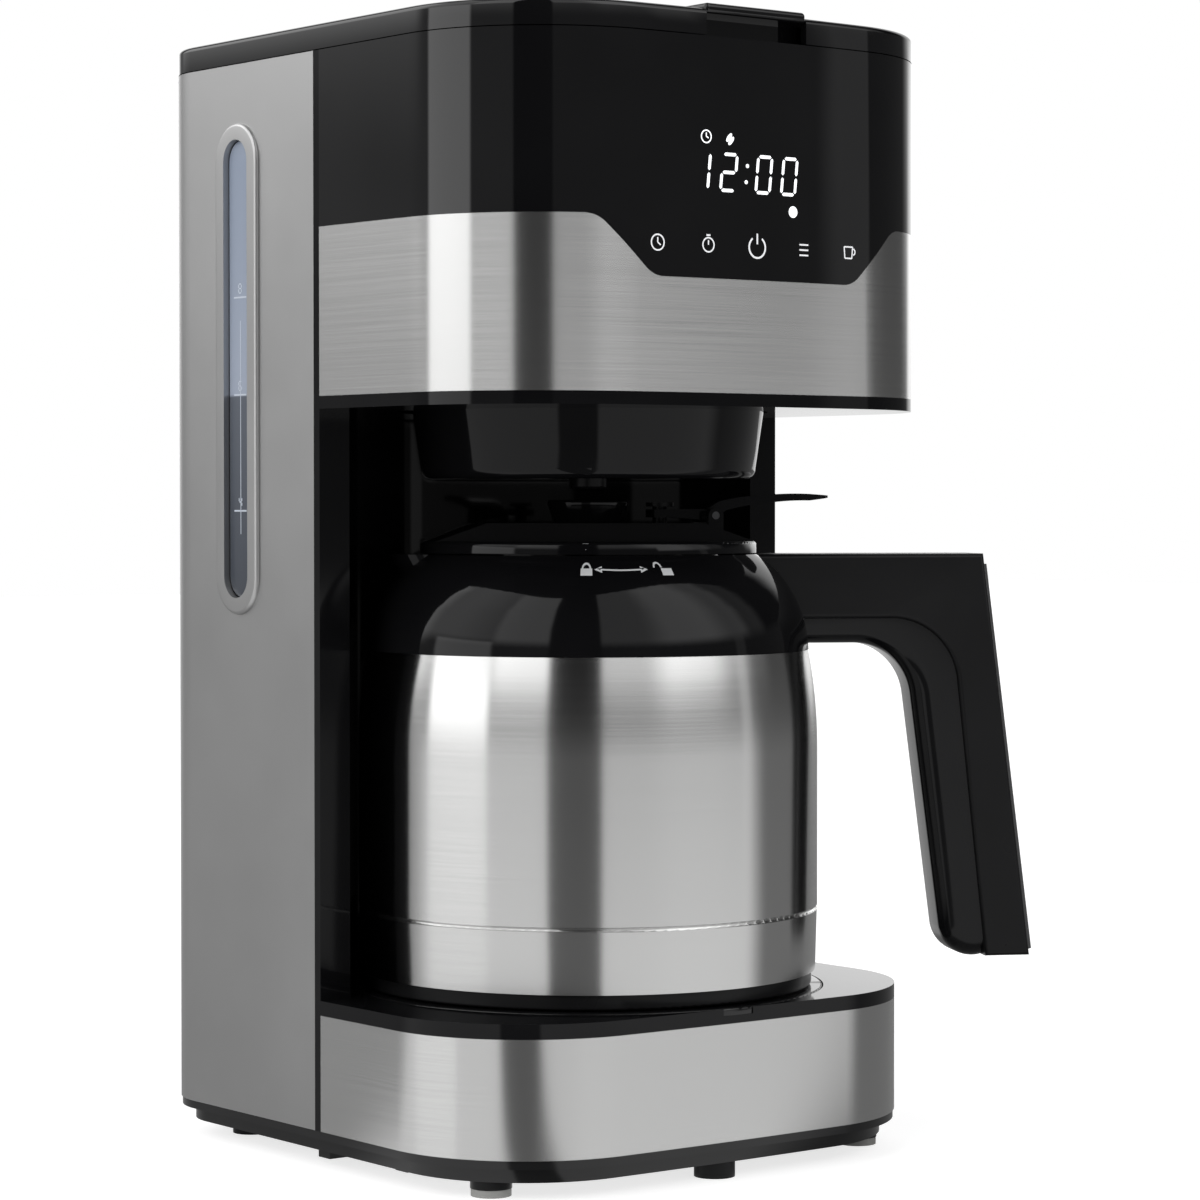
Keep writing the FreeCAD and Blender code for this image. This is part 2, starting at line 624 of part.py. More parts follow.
def make_rear_cover():
    half = S.body_width / 2 - S.rear_radius
    low, high = S.steel_low, S.lid_seam
    cover = padded("rear_plate", "XZ_Plane", [(-half, low), (half, low), (half, high), (-half, high)], 0,
                   Size(2),
                   [(40, 38, 7.5)] + [(x, z, 1.4) for x, z in BACK_SCREWS])
    sinks = [lying_rod(f"cover_sink_{number}", 3.1, "y", (x, -1.2, z), 5)
             for number, (x, z) in enumerate(BACK_SCREWS)]
    vents = [box(f"cover_vent_{number}", (-40, 10), (-5, 5), (70 + 8 * number, 73 + 8 * number))
             for number in range(6)]
    piece("rear_cover", cut("rear_cover", cover, *sinks, *vents))
    shanks = [lying_rod(f"back_shank_{number}", 1.2, "y", (x, -9, z), 8)
              for number, (x, z) in enumerate(BACK_SCREWS)]
    heads = [lying_rod(f"back_head_{number}", 2.9, "y", (x, -1.2, z), 1.1)
             for number, (x, z) in enumerate(BACK_SCREWS)]
    piece("rear_screws", fuse("rear_screws", *shanks, *heads))
    sleeve = lying_rod("gland_sleeve", 7.4, "y", (40, -7, 38), 7)
    inside = lying_rod("gland_nut", 10, "y", (40, -7, 38), 4.9)
    flange = lying_rod("gland_flange", 10, "y", (40, 0, 38), 2.4)
    passage = lying_rod("gland_bore", 3.6, "y", (40, -20, 38), 40)
    piece("mains_gland", cut("mains_gland", fuse("gland_body", sleeve, inside, flange), passage))


# ---------------------------------------------------------------- head

def make_head():
    low, top = S.band_low, S.lid_seam
    half, run = S.notch_half, S.notch_run
    rise = S.band_high - S.notch_low
    slope = root(run * run + rise * rise)
    reach = S.notch_round * (slope - run) / rise        # how far each rounding runs along its sides
    along, up = reach * run / slope, reach * rise / slope
    radius = S.notch_round
    right = [(half - reach, S.notch_low), (half + along, S.notch_low + up, radius),
             (half + run - along, S.band_high - up), (half + run + reach, S.band_high, -radius)]
    left = [(-half - run - reach, S.band_high), (along - half - run, S.band_high - up, -radius),
            (-half - along, S.notch_low + up), (reach - half, S.notch_low, radius)]
    over = S.band_high + 5
    crown = [(half + run + reach, over), (-half - run - reach, over)]
    notch = padded("notch", "XZ_Plane", right + crown + left, S.tower_depth + 40, Size(80))
    band_shell = cut("band_shell", slab("band_outer", (low, S.band_high)),
                     slab("band_inner", (0, FAR), S.skin))
    zone = cut("band_zone", common("band_ring", band_shell, AHEAD), notch)
    piece("head_band", common("head_band", zone, AHEAD))
    ring_wall = cut("fascia_shell", slab("fascia_outer", (low, top)),
                    slab("fascia_inner", (0, FAR), S.fascia_wall))
    piece("head_fascia", cut("head_fascia", common("fascia_ring", ring_wall, AHEAD), zone))
    lip = common("lip_plate", slab("lip_outer", (S.lip_low, low)), AHEAD)
    piece("head_lip", cut("head_lip", lip, rod("lip_hole", S.holder_radius + 0.7, (0, FAR), 0, -AXIS)))


def make_display():
    back = Size(-178.4)
    face = back - 1.6
    board = padded("display_board", "XZ_Plane", [(-46, 258), (46, 258), (46, 304), (-46, 304)], -back,
                   Size(1.6),
                   [(x, z, 1.3) for x in (-43, 43) for z in (261, 301)])
    piece("display_board", board)
    module = box("module_block", (-22, 20), (-187, face), (279, 296.5))
    piece("display_module", rounded("display_module", module, 0.8,
                                    lambda edge: edge.BoundBox.YMax < -186.9))
    pads = [lying_rod(f"touch_pad_{number}", 4.5, "y", (17.75 * number, -186.6, 268), face + 186.6)
            for number in range(-2, 3)]
    piece("touch_pads", fuse("touch_pads", *pads))
    buzzer = fuse("buzzer_block", lying_rod("buzzer_can", 5, "y", (-34, -178.4, 288), 4.5),
                  lying_rod("buzzer_neck", 1.8, "y", (-34, -173.9, 288), 0.8))
    piece("buzzer", buzzer)
    run = [V(-58, -30, 100), V(-72, -46, 100), V(-81, -66, 106), V(-81, -88, 130), V(-81, -88, 232),
           V(-78, -104, 246), V(-69, -140, 258), V(-50, -168, 268), V(-42, -177, 268)]
    piece("display_cable", tube("display_cable", run, 6, 1.3))


# ---------------------------------------------------------------- water and heat

def make_tank():
    low, top = S.tank_floor, S.tank_high
    tip = box("tank_zone", (-FAR, FAR), (-S.tank_tip, FAR), (0, FAR))
    inner_tip = box("tank_inner_zone", (-FAR, FAR), (2 - S.tank_tip, FAR), (0, FAR))
    room = S.riser_room
    outer = cut("tank_outer", common("tank_block", slab("tank_walls", (low, top), CORE + S.slack), tip),
                rod("tank_front", BAY_WALL + 0.4, (0, FAR), 0, -AXIS),
                box("riser_channel", (-room, room), (RISER_Y - 6.5, 5), (0, FAR)))
    inner = cut("tank_inner", common("tank_space", slab("tank_water", (low + 2, FAR), CORE + S.slack + 2),
                                     inner_tip),
                rod("tank_front_wall", BAY_WALL + 2.4, (0, FAR), 0, -AXIS),
                box("riser_wall", (-room - 2, room + 2), (RISER_Y - 8.5, 5), (0, FAR)))
    nipple = rod("tank_nipple", 5, (132, low + 1), *OUTLET)
    slot = padded("tank_slot", "YZ_Plane", window_corners(0.05), -S.body_width / 2, Size(8))
    tub = fuse("tank_tub", cut("tank_shell", outer, inner), nipple)
    piece("water_tank", cut("water_tank", tub, rod("nipple_bore", 3.5, (0, low + 5), *OUTLET), slot))
    lens_start = 0.6 - S.body_width / 2
    lens = padded("level_window", "YZ_Plane", window_corners(-0.05), lens_start, Size(4.6))
    face = float(lens_start)
    softened(lens, Size(0.8), lambda edge: abs(edge.BoundBox.XMax - face) < 0.01)
    piece("level_window", lens)
    gasket = padded("gasket_blank", "YZ_Plane", window_corners(2.5), CORE - S.body_width / 2 + 0.02,
                    Size(0.26))
    gasket_slot = padded("gasket_slot", "YZ_Plane", window_corners(0.05), -S.body_width / 2, Size(8))
    piece("window_gasket", cut("window_gasket", gasket, gasket_slot))
    strainer = fuse("strainer_full", rod("strainer_stem", 3.4, (low - 3, low + 2.2), *OUTLET),
                    rod("strainer_cap", 7, (low + 2, low + 6), *OUTLET))
    slits = [box(f"strainer_slit_{number}", (S.outlet_x - 8, S.outlet_x + 8),
                 (-S.outlet_depth + 2.4 * number - 0.5, -S.outlet_depth + 2.4 * number + 0.5),
                 (low + 3, low + 7))
             for number in (-2, -1, 0, 1, 2)]
    piece("tank_strainer", cut("tank_strainer", strainer, rod("strainer_bore", 2, (0, low + 4), *OUTLET),
                               *slits))


def make_heater():
    low, high, mid = S.heater_low, S.heater_high, S.heater_radius
    leg_end = S.heater_leg - AXIS
    front = box("heater_front", (-FAR, FAR), (-FAR, -AXIS), (0, FAR))
    half = S.heater_half

    def u_shape(name, height, radius, extra):
        """Round channel along the U: half a ring and two straight legs."""
        bend = doc.addObject("Part::Torus", name + "_bend")
        bind(bend, Radius1=mid, Radius2=radius)
        at(bend, 0, -AXIS, height)
        legs = [lying_rod(f"{name}_leg_{side + 1}", radius, "y", (side * mid, -AXIS, height),
                          S.heater_leg + extra)
                for side in (-1, 1)]
        return fuse(name, common(name + "_half", bend, front), *legs)

    bend = common("heater_bend", cut("heater_ring", rod("heater_rim", mid + half, (low, high), 0, -AXIS),
                                     rod("heater_eye", mid - half, (0, FAR), 0, -AXIS)), front)
    legs = [box(f"heater_leg_{side + 1}", (side * mid - half, side * mid + half), (-AXIS, leg_end),
                (low, high)) for side in (-1, 1)]
    block = fuse("heater_block", bend, *legs)
    piece("flow_heater", cut("flow_heater", block, u_shape("water_way", high - 6.5, S.water_bore, 1),
                             u_shape("element_way", low + 4.4, 3.3, 1)))
    piece("heating_element", common("heating_element", u_shape("element_rod", low + 4.4, 3.3, 7),
                                    box("element_room", (-FAR, FAR), (-FAR, FAR), (0, FAR))))
    strap = box("strap_plate", (-58, 58), (-AXIS - 6, -AXIS + 6), (low - 3, low))
    holes = [rod(f"strap_hole_{side + 1}", 1.6, (0, FAR), side * 36, -AXIS) for side in (-1, 1)]
    piece("heater_bracket", cut("heater_bracket", strap, *holes))
    thermostat = fuse("thermostat", rod("thermostat_can", 8, (high, high + 3.2), 0, -AXIS - mid),
                      rod("thermostat_cap", 6, (high + 3, high + 5.5), 0, -AXIS - mid))
    fuses = [lying_rod(f"fuse_{side + 1}", 2, "y", (side * (mid + half + 2), -AXIS, 32), 12)
             for side in (-1, 1)]
    piece("thermal_cutouts", fuse("thermal_cutouts", thermostat, *fuses))
    water = high - 6.5
    x, y = OUTLET
    piece("cold_hose", tube("cold_hose", [V(mid, leg_end, water), V(mid, -52, water), V(x, y, 52),
                                          V(x, y, 118)], 14, S.hose_radius, 3.6))
    valve = fuse("check_body", rod("check_can", 8, (118, 130), x, y),
                 rod("check_top", 6.6, (129, 132), x, y))
    piece("check_valve", cut("check_valve", valve, rod("check_bore", 3.4, (0, FAR), x, y)))
    piece("hot_riser", tube("hot_riser", [V(-mid, leg_end, water), V(-mid, -44, water), V(-28, -15, 36),
                                          V(0, RISER_Y, 62), V(0, RISER_Y, 306)], 13, S.hose_radius, 3.6))
    piece("riser_nozzle", tube("riser_nozzle", [V(0, RISER_Y, 306), V(0, RISER_Y, 313), V(0, -66, 313),
                                                V(0, -66, 307.5)],
                               5, 4.2, 2.8))


def make_power():
    board = padded("power_board", "XZ_Plane", [(-58, 58), (-14, 58), (-14, 124), (-58, 124)], Size(22.4),
                   Size(1.6),
                   [(x, z, 1.6) for x in (-54, -18) for z in (62, 120)])
    piece("power_board", board)
    relay = rounded("relay", box("relay_block", (-50, -31), (-22.4, -8), (72, 88)), 1,
                    lambda edge: edge.BoundBox.YMin > -8.1)
    capacitor = rounded("capacitor", lying_rod("capacitor_can", 5, "y", (-24, -22.4, 104), 12), 0.8,
                        lambda edge: edge.BoundBox.YMin > -10.5)
    piece("power_parts", fuse("power_parts", relay, capacitor))
    leads = [tube(f"heater_lead_{number}", run, 5, 1.2) for number, run in enumerate((
        [V(-57, -23.2, 56.8), V(-57, -23.2, 44), V(-57, -60, 24.4), V(-46, -78, 24.4),
         V(-46, -81.9, 24.4)],
        [V(-17, -23.2, 56.8), V(-17, -23.2, 47), V(20, -40, 24.4), V(46, -70, 24.4),
         V(46, -81.9, 24.4)]))]
    piece("heater_leads", fuse("heater_leads", *leads))


# ---------------------------------------------------------------- top lid

def make_lid():
    low, top = S.lid_seam + S.slack, S.lid_high
    plate = slab("lid_plate", (low, top))
    edge_z = float(top)
    soft = rounded("lid_soft", plate, 1.6, lambda edge: flat_at(edge, edge_z))
    radius, height = S.hinge_radius, hinge_z()
    heel = cut("lid_heel", box("heel_zone", (-FAR, FAR), (-radius, 5), (low - 1, top + 1)),
               lying_rod("heel_round", radius, "x", (-FAR, -radius, height), 2 * FAR))
    inside = common("lid_pocket", slab("lid_inside", (low - 1, top - 2.2), Size(2.4)),
                    box("pocket_zone", (-FAR, FAR), (-FAR, -11), (0, FAR)))
    notches = [box(f"ear_notch_{side + 1}", (S.hinge_ear * side - S.ear_width / 2 - 0.5,
                                             S.hinge_ear * side + S.ear_width / 2 + 0.5),
                   (-2 * radius - 0.8, 5), (low - 1, top + 1)) for side in (-1, 1)]
    bores = lying_rod("lid_bores", S.pin_radius + S.fit, "x", (-60, -radius, height), 120)
    finger = box("finger_recess", (-S.tab_half, S.tab_half), (-FAR, -S.body_depth + 6.5), (0, top - 1))
    tab_plate = box("tab_plate", (-S.tab_half, S.tab_half), (-S.body_depth + 0.2, -S.body_depth + 16),
                    (top - 1.4, top + 1.6))
    tab = rounded("tab", tab_plate, 1.2, lambda edge: edge.BoundBox.ZMin > edge_z
                  or edge.BoundBox.YMax < -189)
    rib = box("finger_wall", (-S.tab_half - 1.5, S.tab_half + 1.5),
              (-S.body_depth + 6.5, -S.body_depth + 8), (low, top - 2))
    shell = cut("lid_shell", soft, inside)
    full = fuse("lid_full", cut("lid_open", shell, finger), rib, tab)
    piece("lid_outer", cut("lid_outer", full, heel, *notches, bores))
    deep = S.lid_seam - 6.5
    front_of_hinge = box("liner_zone", (-FAR, FAR), (-FAR, -13), (0, FAR))
    inner_zone = box("liner_inner_zone", (-FAR, FAR), (-FAR, -15), (0, FAR))
    body = common("liner_block", slab("liner_outer", (deep, top - 2.2), Size(8.5)), front_of_hinge)
    space = common("liner_space", slab("liner_inner", (deep + 1.8, FAR), Size(10.3)), inner_zone)
    dish = rod("spreader_dish", 31, (deep - 5.5, deep + 1), 0, -AXIS)
    dish_room = rod("spreader_room", 29.4, (deep - 4, deep + 1), 0, -AXIS)
    holes = [rod(f"spreader_hole_{ring_radius}_{number}", 1.3, (deep - 8, deep),
                 ring_radius * math.cos(2 * math.pi * number / count),
                 ring_radius * math.sin(2 * math.pi * number / count) - AXIS)
             for ring_radius, count in ((10, 6), (21, 12)) for number in range(count)]
    piece("lid_liner", cut("lid_liner", fuse("liner_full", body, dish), space, dish_room, *holes))
    pins = [lying_rod(f"lid_pin_{side + 1}", S.pin_radius, "x", (S.hinge_ear * side - 7, -radius, height),
                      14)
            for side in (-1, 1)]
    piece("lid_hinge_pins", fuse("lid_hinge_pins", *pins))


# ---------------------------------------------------------------- brewing basket

def make_basket():
    low, high, out = S.holder_low, S.holder_high, S.holder_radius
    ledge = S.band_low + 0.3
    wide = S.well_radius - 0.6
    bore = S.valve_radius + S.slack
    holder = turned("basket_holder", [
        (bore, low), (out - 6, low), (out - 3, low + 3, 3), (out, ledge), (wide, ledge), (wide, high),
        (wide - 2, high), (wide - 2, ledge + 2), (out - 2, ledge + 2), (out - 5.2, low + 4),
        (out - 7, low + 2.2), (bore + 2, low + 2.2), (bore + 2, low + 7.5), (bore, low + 7.5)])
    piece("basket_holder", holder, 0, -AXIS)
    basket = turned("filter_basket", [
        (8, low + 18), (36, low + 18), (39, low + 21, 3), (52, high - 6), (54.6, high - 6),
        (54.6, high - 4), (50.6, high - 4), (37.6, low + 22), (35, low + 19.6), (8, low + 19.6)])
    ribs = [box(f"basket_rib_{number}", (34, 41), (-0.8, 0.8), (low + 19, low + 60))
            for number in range(12)]
    for number, rib in enumerate(ribs):
        rib.Placement = FreeCAD.Placement(V(0, 0, 0), FreeCAD.Rotation(V(0, 0, 1), 30 * number))
        rib.Placement.Base = rib.Placement.Rotation.multVec(V(34, -0.8, float(low) + 19))
        for axis in "xyz":
            rib.setExpression(f"Placement.Base.{axis}", None)
    inside = turned("basket_inside", [(0, low + 18.5), (36, low + 18.5), (51.4, high - 5), (0, high - 5)])
    tabs = [box(f"basket_tab_{side + 1}", (side * 49 - 2, side * 49 + 2), (-9, 9), (high - 6, high + 4))
            for side in (-1, 1)]
    sieve = [rod(f"sieve_hole_{number}", 1.5, (low + 17, low + 21), 24 * math.cos(math.pi * number / 6),
                 24 * math.sin(math.pi * number / 6)) for number in range(12)]
    ribbed = fuse("basket_ribbed", basket, common("basket_ribs", fuse("rib_set", *ribs), inside), *tabs)
    piece("filter_basket", cut("filter_basket", ribbed, *sieve), 0, -AXIS)
    nose, seat = S.valve_radius, low + 7.5
    valve = turned("drip_valve", [(0, S.valve_low), (nose - 1, S.valve_low), (nose, S.valve_low + 1, 1),
                                  (nose, seat + 1.5), (nose + 3.2, seat + 1.5), (nose + 3.2, seat + 3.5),
                                  (0, seat + 3.5)])
    piece("drip_valve", valve, 0, -AXIS)
    seal = turned("drip_seal", [(nose, seat + 0.3), (nose + 2.6, seat + 0.3), (nose + 2.6, seat + 1.5),
                                (nose, seat + 1.5)])
    piece("drip_seal", seal, 0, -AXIS)
    piece("drip_spring", coil("drip_spring", 4.5, 0.5, seat + 4.1, low + 17.4, 4), 0, -AXIS)


def coil(name, radius, wire, low, high, turns, x=0):
    """Upright compression spring whose axis stands at (x, 0)."""
    path = Part.makeHelix((float(high) - float(low)) / turns, float(high) - float(low), radius)
    path.translate(V(x, 0, float(low)))
    rim = Part.Wire([Part.Circle(V(x + radius, 0, float(low)), V(0, 1, 0), wire).toShape()])
    item = doc.addObject("Part::Feature", name)
    item.Shape = Part.Wire(path.Edges).makePipeShell([rim], True, True)
    return item


# ---------------------------------------------------------------- jug

def jug_envelope(name):
    """Solid outer form of the jug, used to trim the handle to it."""
    wide, collar = S.jug_radius, S.collar_radius
    return turned(name, [(0, S.shell_low), (wide, S.shell_low), (wide, S.belly_high),
                         (collar, S.collar_low, 150), (collar + 0.2, S.collar_low + 0.1),
                         (S.collar_top, S.collar_high, 36), (0, S.collar_high)])


def make_jug():
    wide, low, groove, collar = S.jug_radius, S.shell_low, S.groove, S.collar_radius
    wall = S.skin
    shell = turned("jug_outer_shell", [
        (wide - 3.2, low), (wide - 0.6, low), (wide - 0.1, groove - 0.7), (wide - 0.7, groove, -1.2),
        (wide, groove + 0.7, -1.2), (wide, S.belly_high), (collar, S.collar_low, 150),
        (collar - wall, S.collar_low), (wide - wall, S.belly_high, -150), (wide - wall, groove + 1.4),
        (wide - wall - 0.6, groove - 1),
        (wide - wall - 1, low + wall), (wide - 3.2, low + wall)])
    jug_piece("jug_outer_shell", shell)
    foot = S.jug_low
    cap = turned("jug_base_cap", [
        (0, foot + 1.2), (wide - 8, foot + 1.2), (wide - 7, foot), (wide - 2.6, foot),
        (wide - 1.8, foot + 0.8, 0.8), (wide - 1.8, low), (wide - 3.4, low), (wide - 3.4, low + 1.6),
        (wide - 6, low + 1.6), (wide - 6, foot + 3.4), (0, foot + 3.4)])
    jug_piece("jug_base_cap", cap)
    neck, deep = S.neck_radius, low + 2.6
    liner = turned("jug_inner_liner", [
        (0, deep), (58, deep), (64, deep + 6, 6), (64, 139), (neck + 4, 154, 40), (neck, 158, -6),
        (neck, 176), (neck - 0.8, 176), (neck - 0.8, 157.6), (neck + 3.4, 153.2, 6.8),
        (63.2, 138.8, -39), (63.2, deep + 6.2), (57.8, deep + 0.8, -5.2), (0, deep + 0.8)])
    jug_piece("jug_inner_liner", liner)
    rim, top = S.collar_low + 0.1, S.collar_high
    dome = turned("collar_dome", [
        (collar - 2.4, rim), (collar + 0.2, rim), (S.collar_top, top, 36), (neck + 1.2, top),
        (neck + 1.2, top - 2.5),
        (neck + 0.2, top - 3.5), (neck + 0.2, 161), (56, 156.5)])
    beak = padded("spout_block", "XZ_Plane", [(-60.5, top), (-50, top - 17), (-46, top - 17), (-46, top)],
                  Size(-11), Size(22))
    softened(beak, Size(8), lambda edge: edge.BoundBox.XMax < -49 and edge.BoundBox.YLength < 0.01)
    core = turned("collar_core", [(0, 150), (neck + 3, 150), (neck + 3, top + 1), (0, top + 1)])
    channel = padded("spout_channel", "XZ_Plane", [(-62, top + 1), (-54, top - 3), (-44, top - 3),
                                                   (-44, top + 1)], Size(-7), Size(14))
    jug_piece("jug_collar", cut("jug_collar", fuse("collar_full", dome, cut("spout", beak, core)),
                                channel))


def make_handle():
    top, width = S.collar_high, S.handle_width
    shell = padded("handle_block", "XZ_Plane", [
        (46, top), (46, 160.5), (90, 160.5), (112.3, 142, -21), (121.3, 57), (135.2, 57), (120.3, top)],
        -width / 2, width)
    soft = softened(shell, Size(1.4), lambda edge: abs(abs(edge.BoundBox.YMax) - float(width) / 2) < 0.01
                    and edge.BoundBox.YLength < 0.01)
    jug_piece("handle_shell", cut("handle_shell", soft, jug_envelope("handle_trim_form")))
    grip, lean, bend = S.grip_width, S.grip_lean, S.grip_bend
    under, half_turn = S.grip_under, (90 - S.grip_lean) / 2
    reach = 2 * bend * sine(half_turn)
    knee = (81 + reach * cosine(half_turn), under - reach * sine(half_turn))
    heel = (knee[0] + S.grip_length * sine(lean), knee[1] - S.grip_length * cosine(lean))
    end = (121.3, 57)
    across, down = end[0] - heel[0], end[1] - heel[1]
    round_heel = (across * across + down * down) / (2 * (across * cosine(lean) + down * sine(lean)))
    bar = padded("grip_block", "XZ_Plane", [
        (56, 160.4), (56, under), (81, under), (*knee, -bend), heel, (*end, round_heel),
        (112.3, 142), (90, 160.4, 21)], -grip / 2, grip)

    def inner_edge(edge):
        """Edges round the finger side of the grip."""
        bound = edge.BoundBox
        on_side = bound.YLength < 0.01 and abs(abs(bound.YMax) - float(grip) / 2) < 0.01
        along_arm = bound.XMin < 82 and bound.ZMax < 153 and bound.XLength > 1
        down_grip = bound.XMax < 108.5 and bound.ZMin > 60 and bound.XMin > 80
        return on_side and (along_arm or down_grip or bound.ZMax < 66.1)

    softened(bar, Size(6), inner_edge)
    jug_piece("handle_insert", cut("handle_insert", bar, jug_envelope("grip_trim_form")))
    strip = padded("handle_trim", "XZ_Plane", [
        (135.2, 58.5), (136.4, 58.8), (121.9, top - 3.2), (120.7, top - 3.2)], Size(-9), Size(18))
    jug_piece("handle_trim", strip)


# ---------------------------------------------------------------- jug lid

def make_jug_lid():
    base, deck = S.lid_base, S.lid_flange
    inner = S.neck_radius - 0.8
    skirt = inner - 0.9
    port = S.port_radius
    disc = turned("lid_disc", [
        (port, 160), (skirt - 1.5, 160), (skirt, 161.5), (skirt, 166), (skirt - 1.2, 166),
        (skirt - 1.2, 169), (skirt, 169), (skirt, base), (S.collar_top - 0.2, base),
        (S.collar_top - 0.2, deck - 1), (S.collar_top - 1.4, deck, 1.4),
        (0, deck), (0, base), (skirt - 2.4, base), (skirt - 2.4, 162), (port, 162)])
    cone = turned("lid_cone", [(0, deck - 1), (S.collar_top - 1, deck - 1), (S.collar_top - 1, deck),
                               (36, 189.3), (0, 189.3)])
    ridge = common("lid_ridge", cone, box("ridge_zone", (-FAR, FAR), (-14.5, 14.5), (0, FAR)))
    hub = turned("lid_hub", [(0, deck - 1), (9.2, deck - 1), (9.2, 186, -3), (12.4, 195.4),
                             (11.6, 196.2, 0.9), (8.6, 196.2), (6, 190), (0, 190)])
    bore = turned("hub_bore", [(0, base - 1), (5, base - 1), (5, 189), (8.8, 197), (0, 197)])
    pivot, height = S.pivot_r, S.pivot_z
    half = S.lever_width / 2
    ears = [part for side in (-1, 1) for part in lever_ear(side)]
    pocket = box("tail_pocket", (16, pivot + 3.4), (-half - 0.4, half + 0.4), (deck + 2.2, FAR))
    stem_hole = rod("stem_hole", 2.9, (0, FAR), 22, 0)
    pin_bore = lying_rod("lever_pin_bore", 1.2, "y", (pivot, -20, height), 40)
    solid = fuse("lid_solid", cut("lid_top", fuse("lid_stack", disc, ridge, hub), pocket), *ears)
    jug_piece("jug_lid_body", cut("jug_lid_body", solid, bore, stem_hole, pin_bore))
    ring_low = 166.1
    gasket = turned("jug_lid_gasket", [(skirt - 1.2, ring_low), (skirt + 0.5, ring_low),
                                       (skirt + 0.5, ring_low + 2.8), (skirt - 1.2, ring_low + 2.8)])
    jug_piece("jug_lid_gasket", gasket)
    pin = lying_rod("lever_pin_rod", 1.2, "y", (pivot, -half - 2.8, height), 2 * half + 5.6)
    jug_piece("lever_pin", common("lever_pin", pin, box("pin_room", (-FAR, FAR), (-FAR, FAR), (0, FAR))))
    make_lever(pivot, height, half)
    plug = turned("plug_disc", [(0, 162.4), (port + 5, 162.4), (port + 5, 164.2), (0, 164.2)])
    stem = rod("plug_stem", 2.2, (163, height + 3), 22, 0)
    button = rod("plug_button", 4.2, (height + 2.7, height + 3.9), 22, 0)
    jug_piece("pour_valve", fuse("pour_valve", plug, stem, button))
    jug_piece("valve_spring", coil("valve_spring", 4, 0.5, 165, base - 0.7, 5, 22))


def lever_ear(side):
    """Ear beside the thumb lever that holds one end of its pin."""
    half = S.lever_width / 2
    inner, outer = half + 0.4, half + 3
    low, high = (inner, outer) if side > 0 else (-outer, -inner)
    eye = lying_rod(f"lever_eye_{side + 1}", S.barrel, "y", (S.pivot_r, low, S.pivot_z), outer - inner)
    stem = box(f"lever_stem_{side + 1}", (S.pivot_r - 2.3, S.pivot_r + 2.3), (low, high),
               (S.lid_flange - 1, S.pivot_z))
    return eye, stem


def make_lever(pivot, height, half):
    """Thumb lever: a barrel on the pin, a long plate over the handle and a short tail over the valve stem."""
    tip = S.lever_tip
    plate = padded("lever_plate", "XZ_Plane", [
        (pivot, height - 1), (40.5, 193.2), (52, 195.2, -60), (66, 196.1, -80), (tip, 197),
        (tip, 197.6), (66, 198.1), (52, 197.7, 90), (38, 195.8, 60), (pivot - 1.6, height + 2.3)],
        -half, 2 * half)
    tail = padded("lever_tail", "XZ_Plane", [
        (pivot, height + 2), (19, height + 1.8), (19, height - 0.6), (25, height - 0.6),
        (pivot, height - 1.6)], -half + 4, 2 * half - 8)
    barrel = lying_rod("lever_barrel", S.barrel, "y", (pivot, -half, height), 2 * half)
    corner = float(tip)
    softened(plate, Size(7), lambda edge: edge.BoundBox.XMin > corner - 0.1
             and edge.BoundBox.YLength < 0.01
             and edge.BoundBox.ZLength > 0.1)
    bore = lying_rod("lever_bore", 1.2 + S.fit, "y", (pivot, -20, height), 40)
    fork = rod("lever_fork", 3.2, (0, FAR), 22, 0)
    jug_piece("lid_lever", cut("lid_lever", fuse("lever_full", plate, tail, barrel), bore, fork))


def check_and_write():
    """Stop on any failed object, then write one STEP file for each piece."""
    doc.recompute()
    for item in doc.Objects:
        if "Invalid" in item.State or "Error" in item.State:
            raise RuntimeError(f"{item.Name} failed: {item.State}")
    os.makedirs("parts", exist_ok=True)
    for label, item in PIECES.items():
        shape = item.Shape
        if shape.isNull() or not shape.isValid() or not shape.Solids:
            raise RuntimeError(f"{label} has no valid solid")
        shape.exportStep(f"parts/{label}.step")


for make in (make_base, make_lower_housing, make_base_trim, make_bay_wall, make_upper_housing,
             make_head_housing, make_panels, make_rear_cover, make_head, make_display, make_tank,
             make_heater, make_power, make_lid, make_basket, make_jug, make_handle, make_jug_lid):
    make()
check_and_write()
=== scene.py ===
"""Looks of a drip coffee maker with a thermal jug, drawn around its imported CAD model.

Everything is in metres in the frame of the model: +Z up, the front faces -Y. The moving parts ride
on their own bodies, so every pose of the model shows the same pieces.
"""
import math

import bpy
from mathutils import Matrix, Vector
from mathutils.bvhtree import BVHTree


